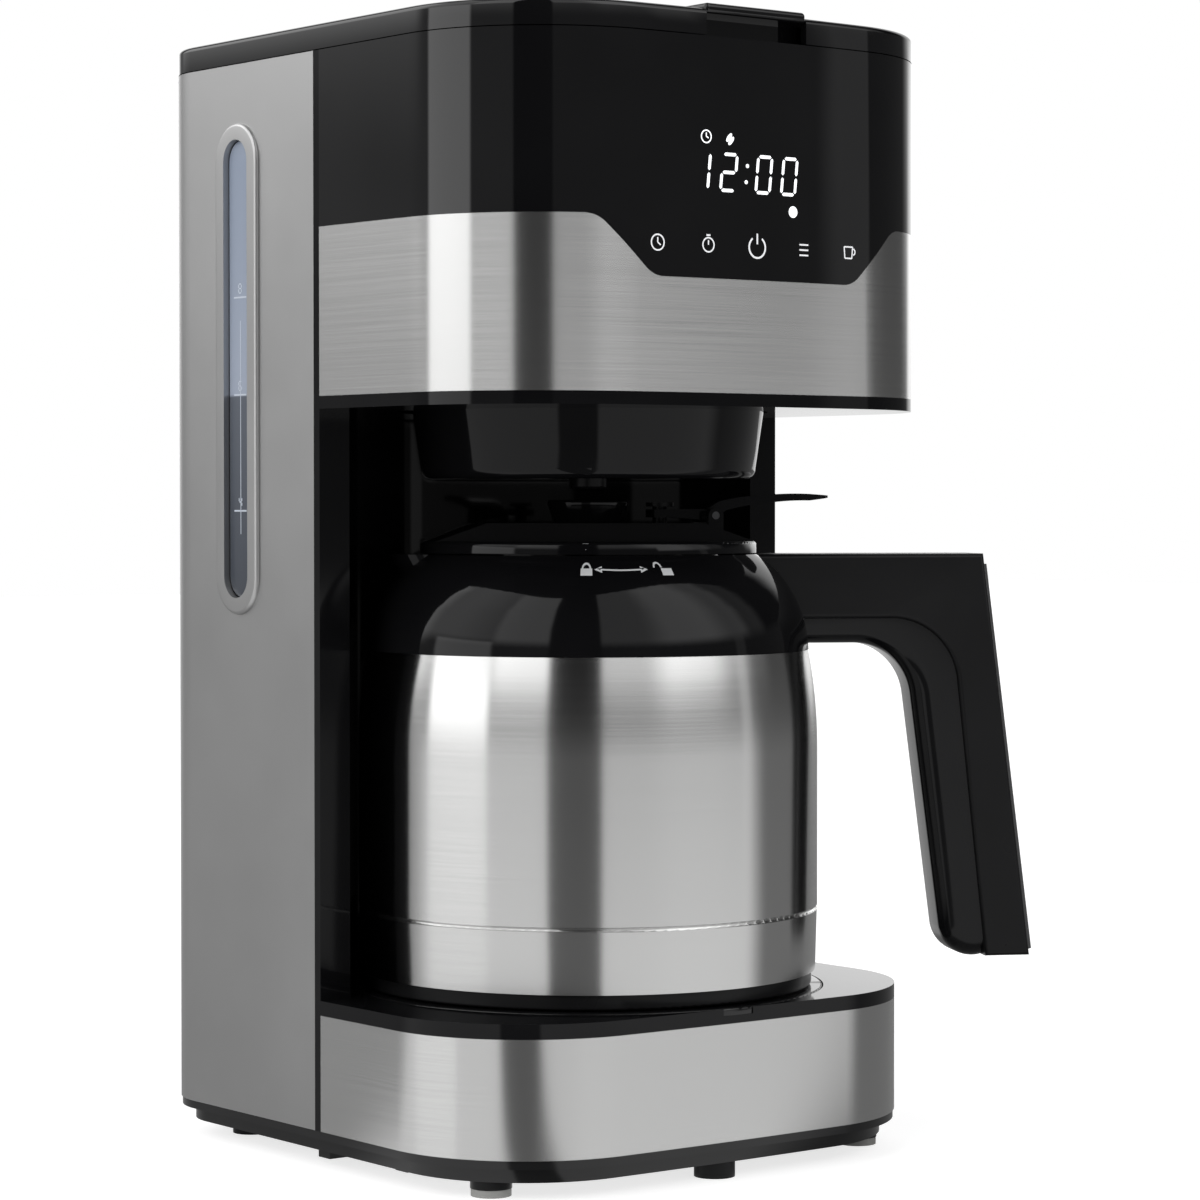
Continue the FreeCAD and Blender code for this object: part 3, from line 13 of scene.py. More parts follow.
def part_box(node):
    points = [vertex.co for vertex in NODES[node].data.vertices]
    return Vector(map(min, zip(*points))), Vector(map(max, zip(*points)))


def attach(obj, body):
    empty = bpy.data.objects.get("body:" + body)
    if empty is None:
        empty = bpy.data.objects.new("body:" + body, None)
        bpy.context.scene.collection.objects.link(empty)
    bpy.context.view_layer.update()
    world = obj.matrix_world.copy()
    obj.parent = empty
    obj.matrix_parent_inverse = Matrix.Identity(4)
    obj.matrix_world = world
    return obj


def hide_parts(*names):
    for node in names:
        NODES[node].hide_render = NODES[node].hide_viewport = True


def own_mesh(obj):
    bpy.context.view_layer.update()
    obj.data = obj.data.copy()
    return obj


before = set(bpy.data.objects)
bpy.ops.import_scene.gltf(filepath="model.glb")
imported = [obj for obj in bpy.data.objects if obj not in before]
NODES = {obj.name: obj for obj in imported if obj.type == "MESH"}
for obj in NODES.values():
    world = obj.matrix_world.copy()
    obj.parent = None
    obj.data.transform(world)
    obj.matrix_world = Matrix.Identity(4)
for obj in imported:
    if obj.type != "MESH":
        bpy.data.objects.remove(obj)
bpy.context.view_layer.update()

MM = 0.001

# the studio is laid out around the level line from the machine to the camera
VIEW_TURN = math.radians(37.74)
TOWARDS = Vector((-math.sin(VIEW_TURN), -math.cos(VIEW_TURN), 0))
RIGHT = Vector((math.cos(VIEW_TURN), -math.sin(VIEW_TURN), 0))

FASCIA_LOW, FASCIA_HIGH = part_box("head_fascia")
MIDDLE_X = (FASCIA_LOW.x + FASCIA_HIGH.x) / 2
JUG_LOW, JUG_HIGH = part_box("jug_outer_shell")
JUG_AXIS = (JUG_LOW + JUG_HIGH) / 2


# ---------------------------------------------------------------- camera

CAMERA_PLACE = (-0.6931, -0.8950, 0.1945)
CAMERA_DIP = math.radians(1.473)      # how far it looks down
SENSOR_WIDTH, FOCAL_LENGTH = 36, 109.9      # in millimetres


def make_camera():
    """Camera a metre away, left of the front, almost level with the middle of the machine."""
    data = bpy.data.cameras.new("camera")
    data.sensor_width = SENSOR_WIDTH
    data.lens = FOCAL_LENGTH
    data.clip_start, data.clip_end = 0.05, 50
    camera = bpy.data.objects.new("camera", data)
    bpy.context.scene.collection.objects.link(camera)
    camera.location = CAMERA_PLACE
    forward = -TOWARDS * math.cos(CAMERA_DIP) + Vector((0, 0, -math.sin(CAMERA_DIP)))
    camera.rotation_mode = "QUATERNION"
    camera.rotation_quaternion = forward.to_track_quat("-Z", "Y")
    bpy.context.scene.camera = camera


# ---------------------------------------------------------------- shader helpers

NOISE_LOW, NOISE_HIGH = 0.25, 0.75      # nearly all of a noise texture lies between these


def opaque(colour):
    """Colour with the fourth part that a socket wants; an output of a node stays as it is."""
    return colour if isinstance(colour, bpy.types.NodeSocket) else (*colour, 1)


class Shader:
    """Node tree builder: numbers go straight on sockets, outputs of other nodes are linked."""

    def __init__(self, tree):
        self.tree = tree
        tree.nodes.clear()

    def feed(self, socket, value):
        """Link an output to a socket, or set the socket's own value."""
        if isinstance(value, bpy.types.NodeSocket):
            self.tree.links.new(value, socket)
        else:
            socket.default_value = value

    def add(self, kind, settings=None, **inputs):
        """One node; a _ in the name of an input stands for a space."""
        node = self.tree.nodes.new(kind)
        for name, value in (settings or {}).items():
            setattr(node, name, value)
        for name, value in inputs.items():
            self.feed(node.inputs[name.replace("_", " ")], value)
        return node

    def sum(self, operation, first, second=0.0, clamp=False):
        """One Math node."""
        node = self.tree.nodes.new("ShaderNodeMath")
        node.operation, node.use_clamp = operation, clamp
        for socket, value in zip(node.inputs, (first, second)):
            self.feed(socket, value)
        return node.outputs[0]

    def between(self, value, low, high, soft, steps="SMOOTHSTEP"):
        """1 where value lies between low and high, with soft edges."""
        rise = self.add("ShaderNodeMapRange", {"interpolation_type": steps}, Value=value,
                        From_Min=low - soft, From_Max=low + soft)
        fall = self.add("ShaderNodeMapRange", {"interpolation_type": steps}, Value=value,
                        From_Min=high - soft, From_Max=high + soft, To_Min=1.0, To_Max=0.0)
        return self.sum("MULTIPLY", rise.outputs[0], fall.outputs[0])

    def noise(self, scale, detail=3.0, rough=0.5):
        """Noise over the object's own coordinates; scale is cells per metre along X, Y and Z."""
        place = self.add("ShaderNodeTexCoord").outputs["Object"]
        mapped = self.add("ShaderNodeMapping", Vector=place, Scale=scale)
        return self.add("ShaderNodeTexNoise", Vector=mapped.outputs[0], Scale=1.0, Detail=detail,
                        Roughness=rough).outputs["Fac"]

    def spread(self, value, low, high):
        """Noise stretched to run from low to high."""
        return self.add("ShaderNodeMapRange", Value=value, From_Min=NOISE_LOW, From_Max=NOISE_HIGH,
                        To_Min=low, To_Max=high).outputs[0]

    def blend(self, amount, first, second):
        """Colour between two colours."""
        node = self.add("ShaderNodeMix", {"data_type": "RGBA"})
        # a Mix node has a set of sockets for each type of data: 6, 7 and output 2 are the colours
        self.feed(node.inputs[0], amount)
        self.feed(node.inputs[6], opaque(first))
        self.feed(node.inputs[7], opaque(second))
        return node.outputs[2]


def surface(name, roughness, colour, metallic=0.0, bump=None, bump_depth=0.0, tangent=None, **extra):
    """Principled material. Roughness, colour, bump and tangent can be functions, which get the shader
    and add their textures to it."""
    material = bpy.data.materials.new(name)
    material.use_nodes = True
    shader = Shader(material.node_tree)
    body = shader.add("ShaderNodeBsdfPrincipled")
    made = {"roughness": roughness, "colour": colour, "bump": bump, "tangent": tangent}
    for key, value in made.items():
        made[key] = value(shader) if callable(value) else value
    shader.feed(body.inputs["Metallic"], metallic)
    shader.feed(body.inputs["Roughness"], made["roughness"])
    shader.feed(body.inputs["Base Color"], opaque(made["colour"]))
    for key, value in extra.items():
        shader.feed(body.inputs[key.replace("_", " ")], value)
    if made["bump"] is not None:
        bumped = shader.add("ShaderNodeBump", Strength=1.0, Distance=bump_depth, Height=made["bump"])
        shader.feed(body.inputs["Normal"], bumped.outputs[0])
    if made["tangent"] is not None:
        shader.feed(body.inputs["Tangent"], made["tangent"])
    shader.add("ShaderNodeOutputMaterial", Surface=body.outputs[0])
    return material


def brushed_steel(name, colour, roughness, scale, anisotropic):
    """Steel with fine brushed streaks, and highlights drawn out across them."""
    def streaks(shader):
        return shader.noise(scale, 4.0, 0.7)

    def around(shader):
        return shader.add("ShaderNodeTangent", {"direction_type": "RADIAL", "axis": "Z"}).outputs[0]

    dark = tuple(0.94 * part for part in colour)
    return surface(name, lambda s: s.spread(streaks(s), roughness - 0.02, roughness + 0.025),
                   lambda s: s.blend(s.spread(streaks(s), 0.0, 1.0), dark, colour), 1.0,
                   streaks, 0.0000025, around, Anisotropic=anisotropic, Anisotropic_Rotation=0.25)


def moulded(name, colour, roughness, grain=0, depth=0, **extra):
    """Moulded plastic or rubber: fine grain, slight unevenness of gloss and colour. Grain is in cells
    per metre, and none is left out."""
    pale = tuple(1.25 * part + 0.002 for part in colour)
    return surface(
        name, lambda s: s.spread(s.noise((60, 60, 60), 2.0), roughness * 0.9, roughness * 1.12),
        lambda s: s.blend(s.spread(s.noise((25, 25, 25), 2.0), 0.0, 1.0), colour, pale), 0.0,
        (lambda s: s.noise((grain, grain, grain), 2.0)) if grain else None, depth, **extra)


def bare_metal(name, colour, roughness, grain=2500):
    """Plain metal, faintly mottled."""
    dark = tuple(0.88 * part for part in colour)
    return surface(
        name, lambda s: s.spread(s.noise((300, 300, 300), 3.0), roughness * 0.8, roughness * 1.25),
        lambda s: s.blend(s.noise((120, 120, 120), 3.0), dark, colour), 1.0,
        lambda s: s.noise((grain, grain, grain), 2.0), 0.000004)


# heights between which the lens is graded, with painted light above the water line and painted shade below
# it
WINDOW_FOOT, WATER_LINE, WINDOW_HEAD = 167 * MM, 227.5 * MM, 304 * MM
WATER_EDGE = 0.4 * MM                 # half the height over which the water line fades


def window_lens_with_painted_light():
    """Clear lens over the tank, dark below the water line where the tank holds water. Above the line its
    pale bluish colour is painted light, palest at the water line and a little darker towards the head of
    the window; below the line painted shade darkens the water towards the foot.
    """
    def tint_with_painted_light(shader):
        place = shader.add("ShaderNodeTexCoord").outputs["Object"]
        height = shader.add("ShaderNodeSeparateXYZ", Vector=place).outputs[2]

        def share(low, high):
            return shader.add("ShaderNodeMapRange", Value=height, From_Min=low, From_Max=high).outputs[0]

        above = share(WATER_LINE - WATER_EDGE, WATER_LINE + WATER_EDGE)
        high, low = share(WATER_LINE, WINDOW_HEAD), share(WINDOW_FOOT, WATER_LINE)
        # painted light above the water line, palest at the line; painted shade in the water below it,
        # darkest at the foot
        pale = shader.blend(high, (0.38, 0.43, 0.53), (0.31, 0.365, 0.47))
        water_with_painted_shade = shader.blend(low, (0.05, 0.058, 0.075), (0.11, 0.125, 0.155))
        return shader.blend(above, water_with_painted_shade, pale)

    return surface("window_lens_with_painted_light", lambda s: s.spread(s.noise((90, 90, 20), 2.0), 0.10, 0.16), tint_with_painted_light,
                   0.0, None, Coat_Weight=0.5, Coat_Roughness=0.04)


def light_print(name, colour, glow):
    """Backlit or printed mark; a printed one has only a little painted glow, to stay readable in the dark
    parts.
    """
    return surface(name, lambda s: s.spread(s.noise((900, 900, 900), 2.0), 0.4, 0.55), colour,
                   Emission_Color=(*colour, 1), Emission_Strength=glow)


LEVEL_STREAKS, UPRIGHT_STREAKS = (12, 12, 2600), (900, 12, 12)      # cells per metre along X, Y and Z


def make_materials():
    """Every material of the machine, by its short name."""
    return {
        "gloss": moulded("gloss_black", (0.0035, 0.0035, 0.004), 0.06, Specular_IOR_Level=0.23),
        "piano": moulded("piano_black", (0.004, 0.004, 0.0045), 0.035),
        "deck": moulded("deck_black", (0.006, 0.006, 0.0065), 0.11, 900, 0.000003),
        "satin": moulded("satin_black", (0.007, 0.007, 0.0075), 0.30, 2600, 0.00001,
                         Specular_IOR_Level=0.16),
        "grip": moulded("grip_black", (0.0045, 0.0045, 0.005), 0.12, Specular_IOR_Level=0.22),
        "cover": moulded("cover_black", (0.014, 0.014, 0.0145), 0.45, 1800, 0.00003),
        "trim": moulded("trim_grey", (0.06, 0.06, 0.062), 0.25, 1500, 0.000005),
        "steel": brushed_steel("steel_front", (0.64, 0.64, 0.635), 0.21, LEVEL_STREAKS, 0.88),
        "steel_jug": brushed_steel("steel_jug", (0.68, 0.68, 0.675), 0.19, LEVEL_STREAKS, 0.88),
        "steel_side": brushed_steel("steel_side", (0.50, 0.50, 0.50), 0.36, UPRIGHT_STREAKS, 0.3),
        "metal": bare_metal("bare_steel", (0.58, 0.58, 0.58), 0.28),
        "aluminium": bare_metal("cast_aluminium", (0.66, 0.66, 0.67), 0.42, 900),
        "lens": window_lens_with_painted_light(),
        "tank": moulded("tank_plastic", (0.10, 0.11, 0.13), 0.22, 1200, 0.000006,
                        Transmission_Weight=0.35),
        "silicone": moulded("silicone", (0.55, 0.55, 0.52), 0.5, 1500, 0.00001, Subsurface_Weight=0.2),
        "pad": moulded("grey_pad", (0.28, 0.28, 0.27), 0.6, 2500, 0.00003),
        "board": moulded("circuit_board", (0.012, 0.10, 0.035), 0.3, 700, 0.00001),
        "part": moulded("dark_component", (0.03, 0.03, 0.034), 0.4, 2200, 0.00002),
        "cable": moulded("cable_sheath", (0.12, 0.12, 0.125), 0.45, 1800, 0.00001),
        "lit": light_print("display_light", (0.93, 0.95, 0.97), 0.85),
        "key_light": light_print("key_light", (0.80, 0.81, 0.83), 0.42),
        # the printed marks of the jug and the scale of the window carry a little painted glow
        "print_and_painted_glow": light_print("printed_mark_painted_glow", (0.60, 0.61, 0.62), 0.10),
        "scale": light_print("scale_mark_painted_glow", (0.55, 0.60, 0.68), 0.06),
    }


# the CAD nodes of each material
FINISHES = {
    "piano": ("head_fascia", "lid_outer"),
    "gloss": ("jug_collar", "jug_lid_body", "basket_holder", "upper_housing", "lower_housing",
              "bay_wall", "head_housing", "brew_well", "head_lip", "lid_lever"),
    "grip": ("handle_insert",),
    "deck": ("jug_plate", "base_pan"),
    "satin": ("handle_shell", "jug_base_cap", "lid_liner", "filter_basket", "drip_valve", "feet",
              "pour_valve"),
    "cover": ("rear_cover", "mains_gland"),
    "trim": ("handle_trim",),
    "steel": ("base_wrap", "head_band"),
    "steel_jug": ("jug_outer_shell",),
    "steel_side": ("side_panel_left", "side_panel_right"),
    "metal": ("jug_inner_liner", "heater_bracket", "bottom_screws", "rear_screws", "lid_hinge_pins",
              "drip_spring", "valve_spring", "heating_element", "thermal_cutouts"),
    "lens": ("level_window",),
    "tank": ("water_tank", "tank_strainer", "check_valve"),
    "aluminium": ("flow_heater",),
    "silicone": ("cold_hose", "hot_riser", "riser_nozzle", "window_gasket", "drip_seal",
                 "jug_lid_gasket"),
    "pad": ("foot_pads",),
    "board": ("display_board", "power_board"),
    "part": ("lever_pin", "display_module", "buzzer", "power_parts", "touch_pads"),
    "cable": ("display_cable", "heater_leads"),
}


WELD_DISTANCE = 2e-6
SHARPEST_SMOOTH = math.radians(28)    # edges that turn further than this stay sharp


def finish_nodes(materials):
    """Give every CAD node its material and smooth its round faces."""
    for finish, names in FINISHES.items():
        for name in names:
            node = NODES[name]
            node.data.materials.clear()
            node.data.materials.append(materials[finish])
            for face in node.data.polygons:
                face.use_smooth = True
            weld = node.modifiers.new("weld", "WELD")
            weld.merge_threshold = WELD_DISTANCE
            split = node.modifiers.new("edges", "EDGE_SPLIT")
            split.split_angle = SHARPEST_SMOOTH


# ---------------------------------------------------------------- springs


def make_spring(node_name, piece_name, body, material):
    """Coil with the shape of its CAD node, copied in its own material onto the given body; the CAD node is
    hidden.
    """
    node = NODES[node_name]
    piece = bpy.data.objects.new(piece_name, node.data.copy())
    bpy.context.scene.collection.objects.link(piece)
    piece.matrix_world = node.matrix_world
    piece.data.materials.clear()
    piece.data.materials.append(material)
    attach(piece, body)
    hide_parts(node_name)
    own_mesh(piece)


# ---------------------------------------------------------------- thin marks laid on a surface

PROUD, SUNK = 0.04 * MM, 0.12 * MM      # how far a mark stands out of its surface and reaches into it
CLEAR_OF_FRONT, CLEAR_OF_SIDE = 0.1, 0.05      # how far outside a surface the rays that find it start
CLEAR_OF_JUG = 0.12                   # the same, from the axis of the jug


class Skin:
    """The outer surface of a CAD node, to lay marks on."""

    def __init__(self, node):
        mesh = NODES[node].data
        self.tree = BVHTree.FromPolygons([corner.co for corner in mesh.vertices],
                                         [list(face.vertices) for face in mesh.polygons])

    def touch(self, start, towards):
        """First point of the surface on a ray."""
        place = self.tree.ray_cast(start, towards)[0]
        if place is None:
            raise RuntimeError("a mark misses its surface")
        return place


def bar(start, end, width):
    """Straight stroke as one four-cornered outline."""
    (ax, ay), (bx, by) = start, end
    length = math.hypot(bx - ax, by - ay)
    nx, ny = -(by - ay) / length * width / 2, (bx - ax) / length * width / 2
    return [[(ax + nx, ay + ny), (bx + nx, by + ny), (bx - nx, by - ny), (ax - nx, ay - ny)]]


def line(points, width):
    """Bent stroke: one outline for each straight run."""
    return [outline for a, b in zip(points, points[1:]) for outline in bar(a, b, width)]


def arc(centre, radius, width, first=0.0, last=360.0, steps=24, squash=1.0):
    """Round stroke from one angle to another, in degrees."""
    outlines = []
    for step in range(steps):
        a = math.radians(first + (last - first) * step / steps)
        b = math.radians(first + (last - first) * (step + 1) / steps)
        inner, outer = radius - width / 2, radius + width / 2
        outlines.append([(centre[0] + r * math.cos(t), centre[1] + squash * r * math.sin(t))
                         for r, t in ((inner, a), (outer, a), (outer, b), (inner, b))])
    return outlines


def disc(centre, radius, steps=20, squash=1.0, lean=0.0):
    """Filled round or oval mark."""
    points = []
    for step in range(steps):
        t = 2 * math.pi * step / steps
        x, y = radius * math.cos(t), radius * squash * math.sin(t)
        points.append((centre[0] + x * math.cos(lean) - y * math.sin(lean),
                       centre[1] + x * math.sin(lean) + y * math.cos(lean)))
    return [points]


def patch(across, up, columns=6, rows=3):
    """Filled rectangle in small tiles, so that it follows a round surface."""
    (left, right), (low, high) = across, up
    wide, tall = (right - left) / columns, (high - low) / rows
    return [[(left + wide * c, low + tall * r), (left + wide * (c + 1), low + tall * r),
             (left + wide * (c + 1), low + tall * (r + 1)), (left + wide * c, low + tall * (r + 1))]
            for c in range(columns) for r in range(rows)]


def moved(outlines, across, up):
    """The same outlines somewhere else."""
    return [[(x + across, y + up) for x, y in outline] for outline in outlines]


def mark(name, body, material, outlines, lay):
    """Thin solid plates, one for each outline (in millimetres), laid on a surface by the function lay."""
    corners, faces = [], []
    for outline in outlines:
        base, count = len(corners), len(outline)
        for outside in (True, False):
            corners += [lay(x * MM, y * MM, outside) for x, y in outline]
        faces.append([base + n for n in range(count)])
        faces.append([base + count + n for n in reversed(range(count))])
        faces += [[base + n, base + count + n, base + count + (n + 1) % count, base + (n + 1) % count]
                  for n in range(count)]
    mesh = bpy.data.meshes.new(name)
    mesh.from_pydata(corners, [], faces)
    mesh.materials.append(material)
    mesh.update()
    piece = bpy.data.objects.new(name, mesh)
    bpy.context.scene.collection.objects.link(piece)
    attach(piece, body)
    return piece


def front_layer():
    """Marks on the glossy front: across is X from the middle, up is height above the table."""
    skin = Skin("head_fascia")

    def lay(across, up, outside):
        start = Vector((MIDDLE_X + across, FASCIA_LOW.y - CLEAR_OF_FRONT, up))
        place = skin.touch(start, Vector((0, 1, 0)))
        return place + Vector((0, -PROUD if outside else SUNK, 0))
    return lay


def window_layer():
    """Marks on the level window: across is along Y from its middle, up is height above the table."""
    skin = Skin("level_window")
    low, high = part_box("level_window")
    middle = (low.y + high.y) / 2

    def lay(across, up, outside):
        start = Vector((low.x - CLEAR_OF_SIDE, middle - across, up))
        place = skin.touch(start, Vector((1, 0, 0)))
        return place + Vector((-PROUD if outside else SUNK, 0, 0))
    return lay


def jug_layer(node):
    """Marks around the axis of the jug: each unit of an outline's across is one degree from the camera's
    line, positive to the right; up is height above the table."""
    skin = Skin(node)

    def lay(across, up, outside):
        angle = math.radians(across / MM)
        out = TOWARDS * math.cos(angle) + RIGHT * math.sin(angle)
        start = Vector((JUG_AXIS.x, JUG_AXIS.y, up)) + out * CLEAR_OF_JUG
        place = skin.touch(start, -out)
        return place + out * (PROUD if outside else -SUNK)
    return lay


# ---------------------------------------------------------------- display

# measures in millimetres, across from the middle of the front and up from the table
CLOCK_LOW = 283.6
FIGURE_HEIGHT, FIGURE_WIDTH, FIGURE_STROKE = 10.2, 5.1, 0.95
CLOCK_FIGURES = (("1", -23.2), ("2", -13.5), ("0", -0.6), ("0", 9.0))
KEY_ROW = 268.0

SEGMENTS = {"0": "abcdef", "1": "bc", "2": "abged", "4": "fgbc", "6": "afgedc", "8": "abcdefg"}


def digit(figure, width, height, stroke, slant=0.1):
    """Seven-segment figure whose lower left corner is the origin."""
    gap, half = stroke * 0.8, height / 2
    places = {"a": ((gap, height), (width - gap, height)), "d": ((gap, 0), (width - gap, 0)),
              "g": ((gap, half), (width - gap, half)), "f": ((0, half + gap), (0, height - gap)),
              "e": ((0, gap), (0, half - gap)), "b": ((width, half + gap), (width, height - gap)),
              "c": ((width, gap), (width, half - gap))}
    outlines = []
    for name in SEGMENTS[figure]:
        (ax, ay), (bx, by) = places[name]
        length = math.hypot(bx - ax, by - ay)
        ux, uy = (bx - ax) / length, (by - ay) / length
        tip, side = stroke / 2, stroke / 2
        run = ((-tip, 0), (0, side), (length, side), (length + tip, 0), (length, -side), (0, -side))
        outlines.append([(ax + ux * s - uy * d + slant * (ay + uy * s + ux * d), ay + uy * s + ux * d)
                         for s, d in run])
    return outlines


def make_display(materials):
    """Clock figures, the small signs beside them and the marks of the five touch keys."""
    lay, lit = front_layer(), materials["lit"]
    figures = []
    for figure, left in CLOCK_FIGURES:
        figures += moved(digit(figure, FIGURE_WIDTH, FIGURE_HEIGHT, FIGURE_STROKE), left, CLOCK_LOW)
    for up in (2.7, 7.3):
        figures += disc((-4.4 + 0.1 * up, CLOCK_LOW + up), 0.58)
    mark("clock_figures", "root", lit, figures, lay)
    mark("timer_dot", "root", lit, disc((13.5, 278.7), 1.65, 28), lay)
    halves = disc((0, 0.55), 1.5, 24, 0.42, 0.9) + disc((0.75, -0.35), 1.5, 24, 0.42, 0.9)
    mark("bean_sign", "root", lit, moved(halves, -10.4, 298.0), lay)
    clock = arc((-18.6, 298.4), 1.75, 0.36) + line([(-18.6, 299.5), (-18.6, 298.4), (-17.8, 298.0)], 0.34)
    mark("timer_sign", "root", lit, clock, lay)
    row, lit = KEY_ROW, materials["key_light"]
    hands = line([(-35.6, row + 1.4), (-35.6, row), (-34.6, row - 0.7)], 0.4)
    timer = (line([(-17.8, row), (-17.8, row + 1.3)], 0.4)
             + line([(-18.5, row + 2.7), (-17.1, row + 2.7)], 0.5))
    cup = line([(33.6, row + 1.7), (33.9, row - 1.6), (36.7, row - 1.6), (37.0, row + 1.7),
                (33.6, row + 1.7)], 0.42)
    signs = {
        "hour_key_sign": arc((-35.6, row), 2.2, 0.42) + hands,
        "minute_key_sign": arc((-17.8, row), 2.0, 0.42) + timer,
        "power_key_sign": (arc((0, row), 3.0, 0.55, 125, 415, 32)
                           + line([(0, row + 0.9), (0, row + 3.9)], 0.55)),
        "program_key_sign": [outline for up in (-1.5, 0, 1.5)
                             for outline in line([(16.0, row + up), (19.4, row + up)], 0.45)],
        "mode_key_sign": cup + arc((37.1, row + 0.3), 0.9, 0.4, -80, 80, 10),
    }
    for name, outlines in signs.items():
        mark(name, "root", lit, outlines, lay)


CUP_MARKS = ((257.0, "8"), (227.8, "6"), (193.0, "4"))      # height of each line and its number of cups


def make_level_scale(materials):
    """Lines and cup numbers of the water window."""
    # the lines and numbers of the scale carry a little painted glow
    lay, ink_with_painted_glow = window_layer(), materials["scale"]
    outlines = line([(0.2, 186), (0.2, 250)], 0.3)
    for height, figure in CUP_MARKS:
        outlines += line([(-3.4, height), (3.4, height)], 0.5)
        outlines += moved(digit(figure, 1.5, 2.7, 0.42, 0.0), -0.75, height + 1.3)
    mark("level_scale", "root", ink_with_painted_glow, outlines, lay)


LOCK_LEVEL = 176.2                    # height of the middle of the lock signs
ARROW_STEPS = 16


def make_jug_marks(materials):
    """Lock signs and the arrow between them on the shoulder of the jug, and the pointer on its lid."""
    # these printed marks carry a little painted glow
    ink_with_painted_glow, lay, level = materials["print_and_painted_glow"], jug_layer("jug_collar"), LOCK_LEVEL
    body = patch((-2.0, 1.4), (level - 1.7, level + 0.3))
    closed = body + arc((-0.3, level + 0.3), 1.15, 0.5, 0, 180, 12, 1.2)
    opened = moved(body, 24.4, 0) + arc((21.5, level + 0.5), 1.15, 0.5, 0, 180, 12, 1.2)
    mark("lock_closed_mark", "jug", ink_with_painted_glow, closed, lay)
    mark("lock_open_mark", "jug", ink_with_painted_glow, opened, lay)
    run = [(3.9 + 12.4 * step / ARROW_STEPS, level - 0.2 * math.sin(math.pi * step / ARROW_STEPS))
           for step in range(ARROW_STEPS + 1)]
    arrow = line(run, 0.42)
    arrow += [[(2.0, level), (4.3, level + 0.95), (4.3, level - 0.95)],
              [(18.2, level), (15.9, level - 0.95), (15.9, level + 0.95)]]
    mark("turn_arrow_mark", "jug", ink_with_painted_glow, arrow, lay)
    pointer = [[(-1.6, 183.6), (0.4, 183.6), (-0.6, 181.7)]]
    mark("lid_pointer_mark", "jug_lid", ink_with_painted_glow, pointer, jug_layer("jug_lid_body"))


# ---------------------------------------------------------------- studio

# all turns are in degrees from the camera's line, positive to the right
GAP = (-20, 7)                        # the dark gap between the two groups of panels
AMBIENT = 0.012                       # what shines from everywhere, even from the gap

# turn (first, last), height above the horizon in degrees (low, high), softness of the upright and of the
# level edges, strength
PANELS = (
    (-128, -14, 13, 66, 4, 4, 0.82),
    (-98, -52, 13, 66, 26, 4, 0.85),
    (-86, -51, 0.5, 13, 1.5, 1, 2.0),
    (-180, -86, -5, 13, 1.5, 3, 0.26),
    (-135, -95, 9, 50, 6, 4, 1.35),
    (-51, -14, -5, 13, 1.5, 3, 0.22),
    (-50, -14, 13, 66, 3, 4, 1.0),
    (0, 94, 13, 66, 4, 4, 0.98),
    (38, 76, 13, 66, 9, 4, 0.95),
    (94, 108, 13, 66, 4, 4, 0.30),
    (0, 83, -5, 13, 1.5, 3, 0.11),
    (83, 89.5, -5, 13, 1.0, 3, 0.36),
    (89.5, 150, -5, 13, 1.0, 3, 0.07),
    (142, 181, 5, 60, 8, 5, 0.9),
    (-181, -150, 5, 60, 8, 5, 0.9),
    (150, 181, -30, 8, 5, 3, 1.0),
    (-181, -150, -30, 8, 5, 3, 1.0),
)

FLOOR_HALF = 6.0
FLOOR_LIGHT = 0.84                    # what the floor sends to the machine where it isn't dimmed
FLOOR_SEEN, FLOOR_MATT = 0.75, 0.55   # what the camera sees of it: its own light, and its diffuse share
FLOOR_START = 0.05                    # the floor's turns are counted from here, in front of the jug's axis
GAP_SHADE = 0.82                      # how much the floor is dimmed below the gap

# turn (first, last) of the dimmer sectors at the sides, softness of their edges, how much they are dimmed
SIDE_SHADES = ((-150, -92, 8, 0.62), (92, 170, 8, 0.75))


def turn_of(shader, way):
    """Turn of a direction from the camera's line, in degrees, positive to the right."""
    parts = []
    for axis in (RIGHT, TOWARDS):
        part = shader.add("ShaderNodeVectorMath", {"operation": "DOT_PRODUCT"})
        shader.feed(part.inputs[0], way)
        shader.feed(part.inputs[1], axis)
        parts.append(part.outputs["Value"])
    return shader.sum("MULTIPLY", shader.sum("ARCTAN2", *parts), math.degrees(1))


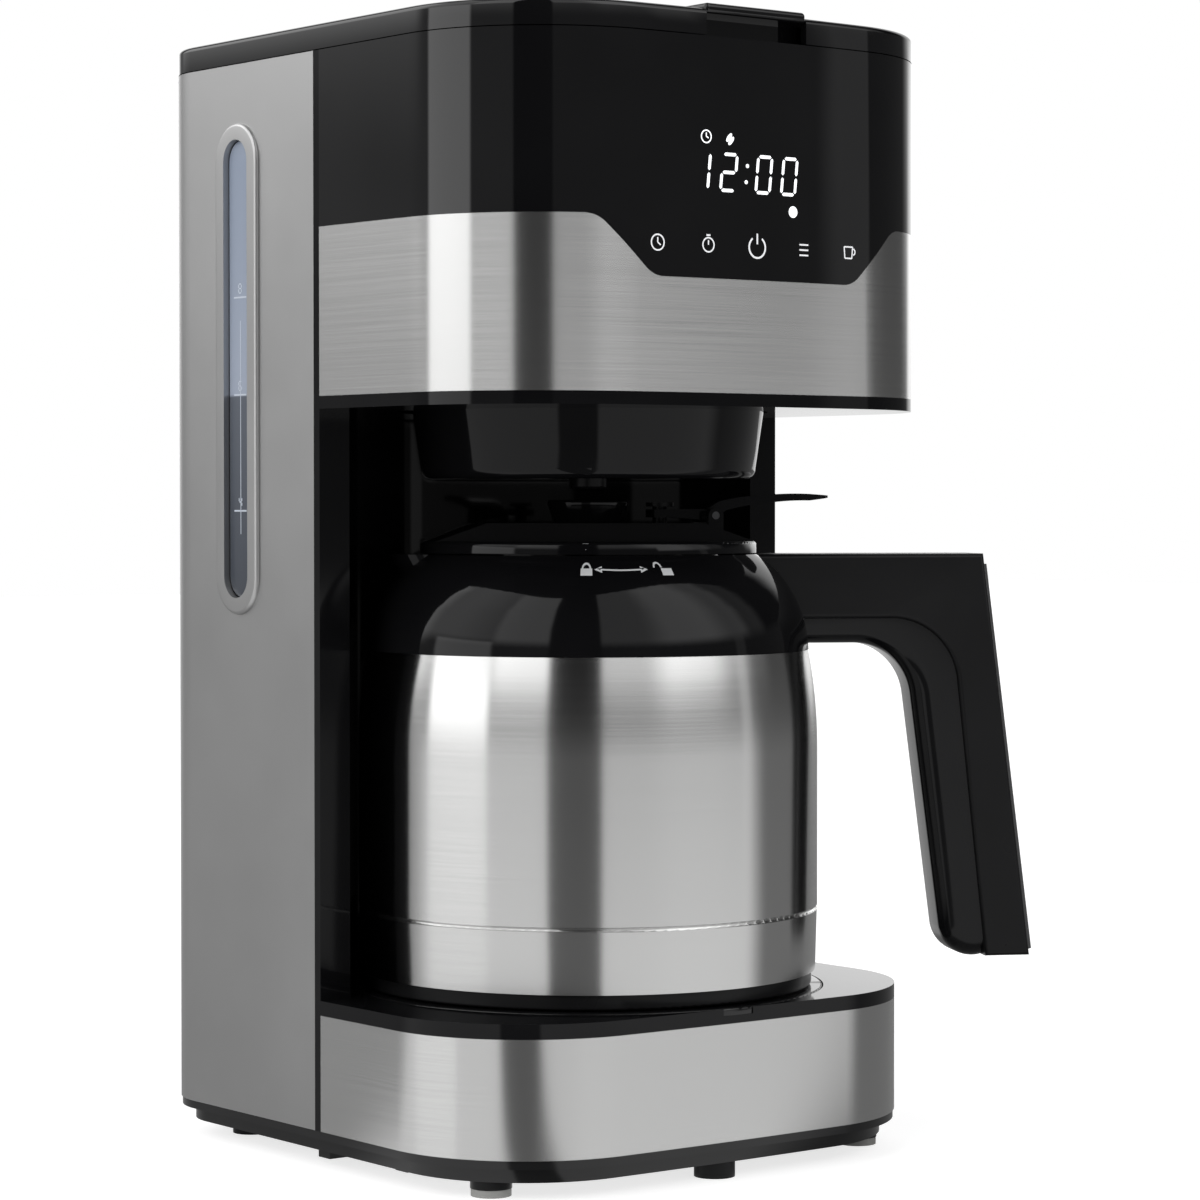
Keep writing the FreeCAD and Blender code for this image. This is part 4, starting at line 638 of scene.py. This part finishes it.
def make_floor():
    """Plain pale floor. The camera sees it evenly lit, but it lights the machine less from the dark gap
    between the panels and from two sectors at the sides."""
    mesh = bpy.data.meshes.new("floor")
    corners = [(x * FLOOR_HALF, y * FLOOR_HALF, 0) for x, y in ((-1, -1), (1, -1), (1, 1), (-1, 1))]
    mesh.from_pydata(corners, [], [(0, 1, 2, 3)])
    floor = bpy.data.objects.new("floor", mesh)
    bpy.context.scene.collection.objects.link(floor)
    material = bpy.data.materials.new("floor_white")
    material.use_nodes = True
    shader = Shader(material.node_tree)
    place = shader.add("ShaderNodeTexCoord").outputs["Object"]
    way = shader.add("ShaderNodeVectorMath", {"operation": "SUBTRACT"})
    shader.feed(way.inputs[0], place)
    shader.feed(way.inputs[1], JUG_AXIS + TOWARDS * FLOOR_START)
    turn = turn_of(shader, way.outputs[0])
    dimmed = shader.sum("MULTIPLY", shader.between(turn, *GAP, 1.5), GAP_SHADE)
    for first, last, soft, shade in SIDE_SHADES:
        side = shader.sum("MULTIPLY", shader.between(turn, first, last, soft), shade)
        dimmed = shader.sum("MAXIMUM", dimmed, side)
    sent = shader.sum("MULTIPLY", shader.sum("SUBTRACT", 1.0, dimmed), FLOOR_LIGHT)
    seen = shader.add("ShaderNodeLightPath").outputs["Is Camera Ray"]
    strength = shader.sum("ADD", shader.sum("MULTIPLY", seen, FLOOR_SEEN),
                          shader.sum("MULTIPLY", shader.sum("SUBTRACT", 1.0, seen), sent))
    glow = shader.add("ShaderNodeEmission", Color=(1, 1, 1, 1), Strength=strength)
    share = shader.sum("MULTIPLY", seen, FLOOR_MATT)
    grey = shader.add("ShaderNodeCombineColor", Red=share, Green=share, Blue=share)
    matt = shader.add("ShaderNodeBsdfDiffuse", Color=grey.outputs[0])
    both = shader.add("ShaderNodeAddShader")
    shader.feed(both.inputs[0], glow.outputs[0])
    shader.feed(both.inputs[1], matt.outputs[0])
    shader.add("ShaderNodeOutputMaterial", Surface=both.outputs[0])
    mesh.materials.append(material)


def make_world():
    """White backdrop for the camera, and soft light panels on black for everything else."""
    world = bpy.data.worlds.new("studio")
    bpy.context.scene.world = world
    world.use_nodes = True
    shader = Shader(world.node_tree)
    way = shader.add("ShaderNodeTexCoord").outputs["Generated"]
    turn = turn_of(shader, way)
    upward = shader.add("ShaderNodeSeparateXYZ", Vector=way).outputs[2]
    rise = shader.sum("MULTIPLY", shader.sum("ARCSINE", upward), math.degrees(1))
    light = 0.0
    for first, last, low, high, side_soft, edge_soft, strength in PANELS:
        window = shader.sum("MULTIPLY", shader.between(turn, first, last, side_soft),
                            shader.between(rise, low, high, edge_soft))
        light = shader.sum("ADD", light, shader.sum("MULTIPLY", window, strength))
    dark = shader.sum("SUBTRACT", 1.0, shader.between(turn, *GAP, 1.2))
    light = shader.sum("ADD", shader.sum("MULTIPLY", light, dark), AMBIENT)
    seen = shader.add("ShaderNodeLightPath").outputs["Is Camera Ray"]
    strength = shader.sum("ADD", seen, shader.sum("MULTIPLY", shader.sum("SUBTRACT", 1.0, seen), light))
    back = shader.add("ShaderNodeBackground", Color=(1, 1, 1, 1), Strength=strength)
    shader.add("ShaderNodeOutputWorld", Surface=back.outputs[0])
    view = bpy.context.scene.view_settings
    view.view_transform, view.look = "Standard", "None"


make_camera()
make_world()
make_floor()
MATERIALS = make_materials()
finish_nodes(MATERIALS)
make_spring("drip_spring", "drip_coil", "root", MATERIALS["metal"])
make_spring("valve_spring", "valve_coil", "jug_lid", MATERIALS["metal"])
make_display(MATERIALS)
make_level_scale(MATERIALS)
make_jug_marks(MATERIALS)
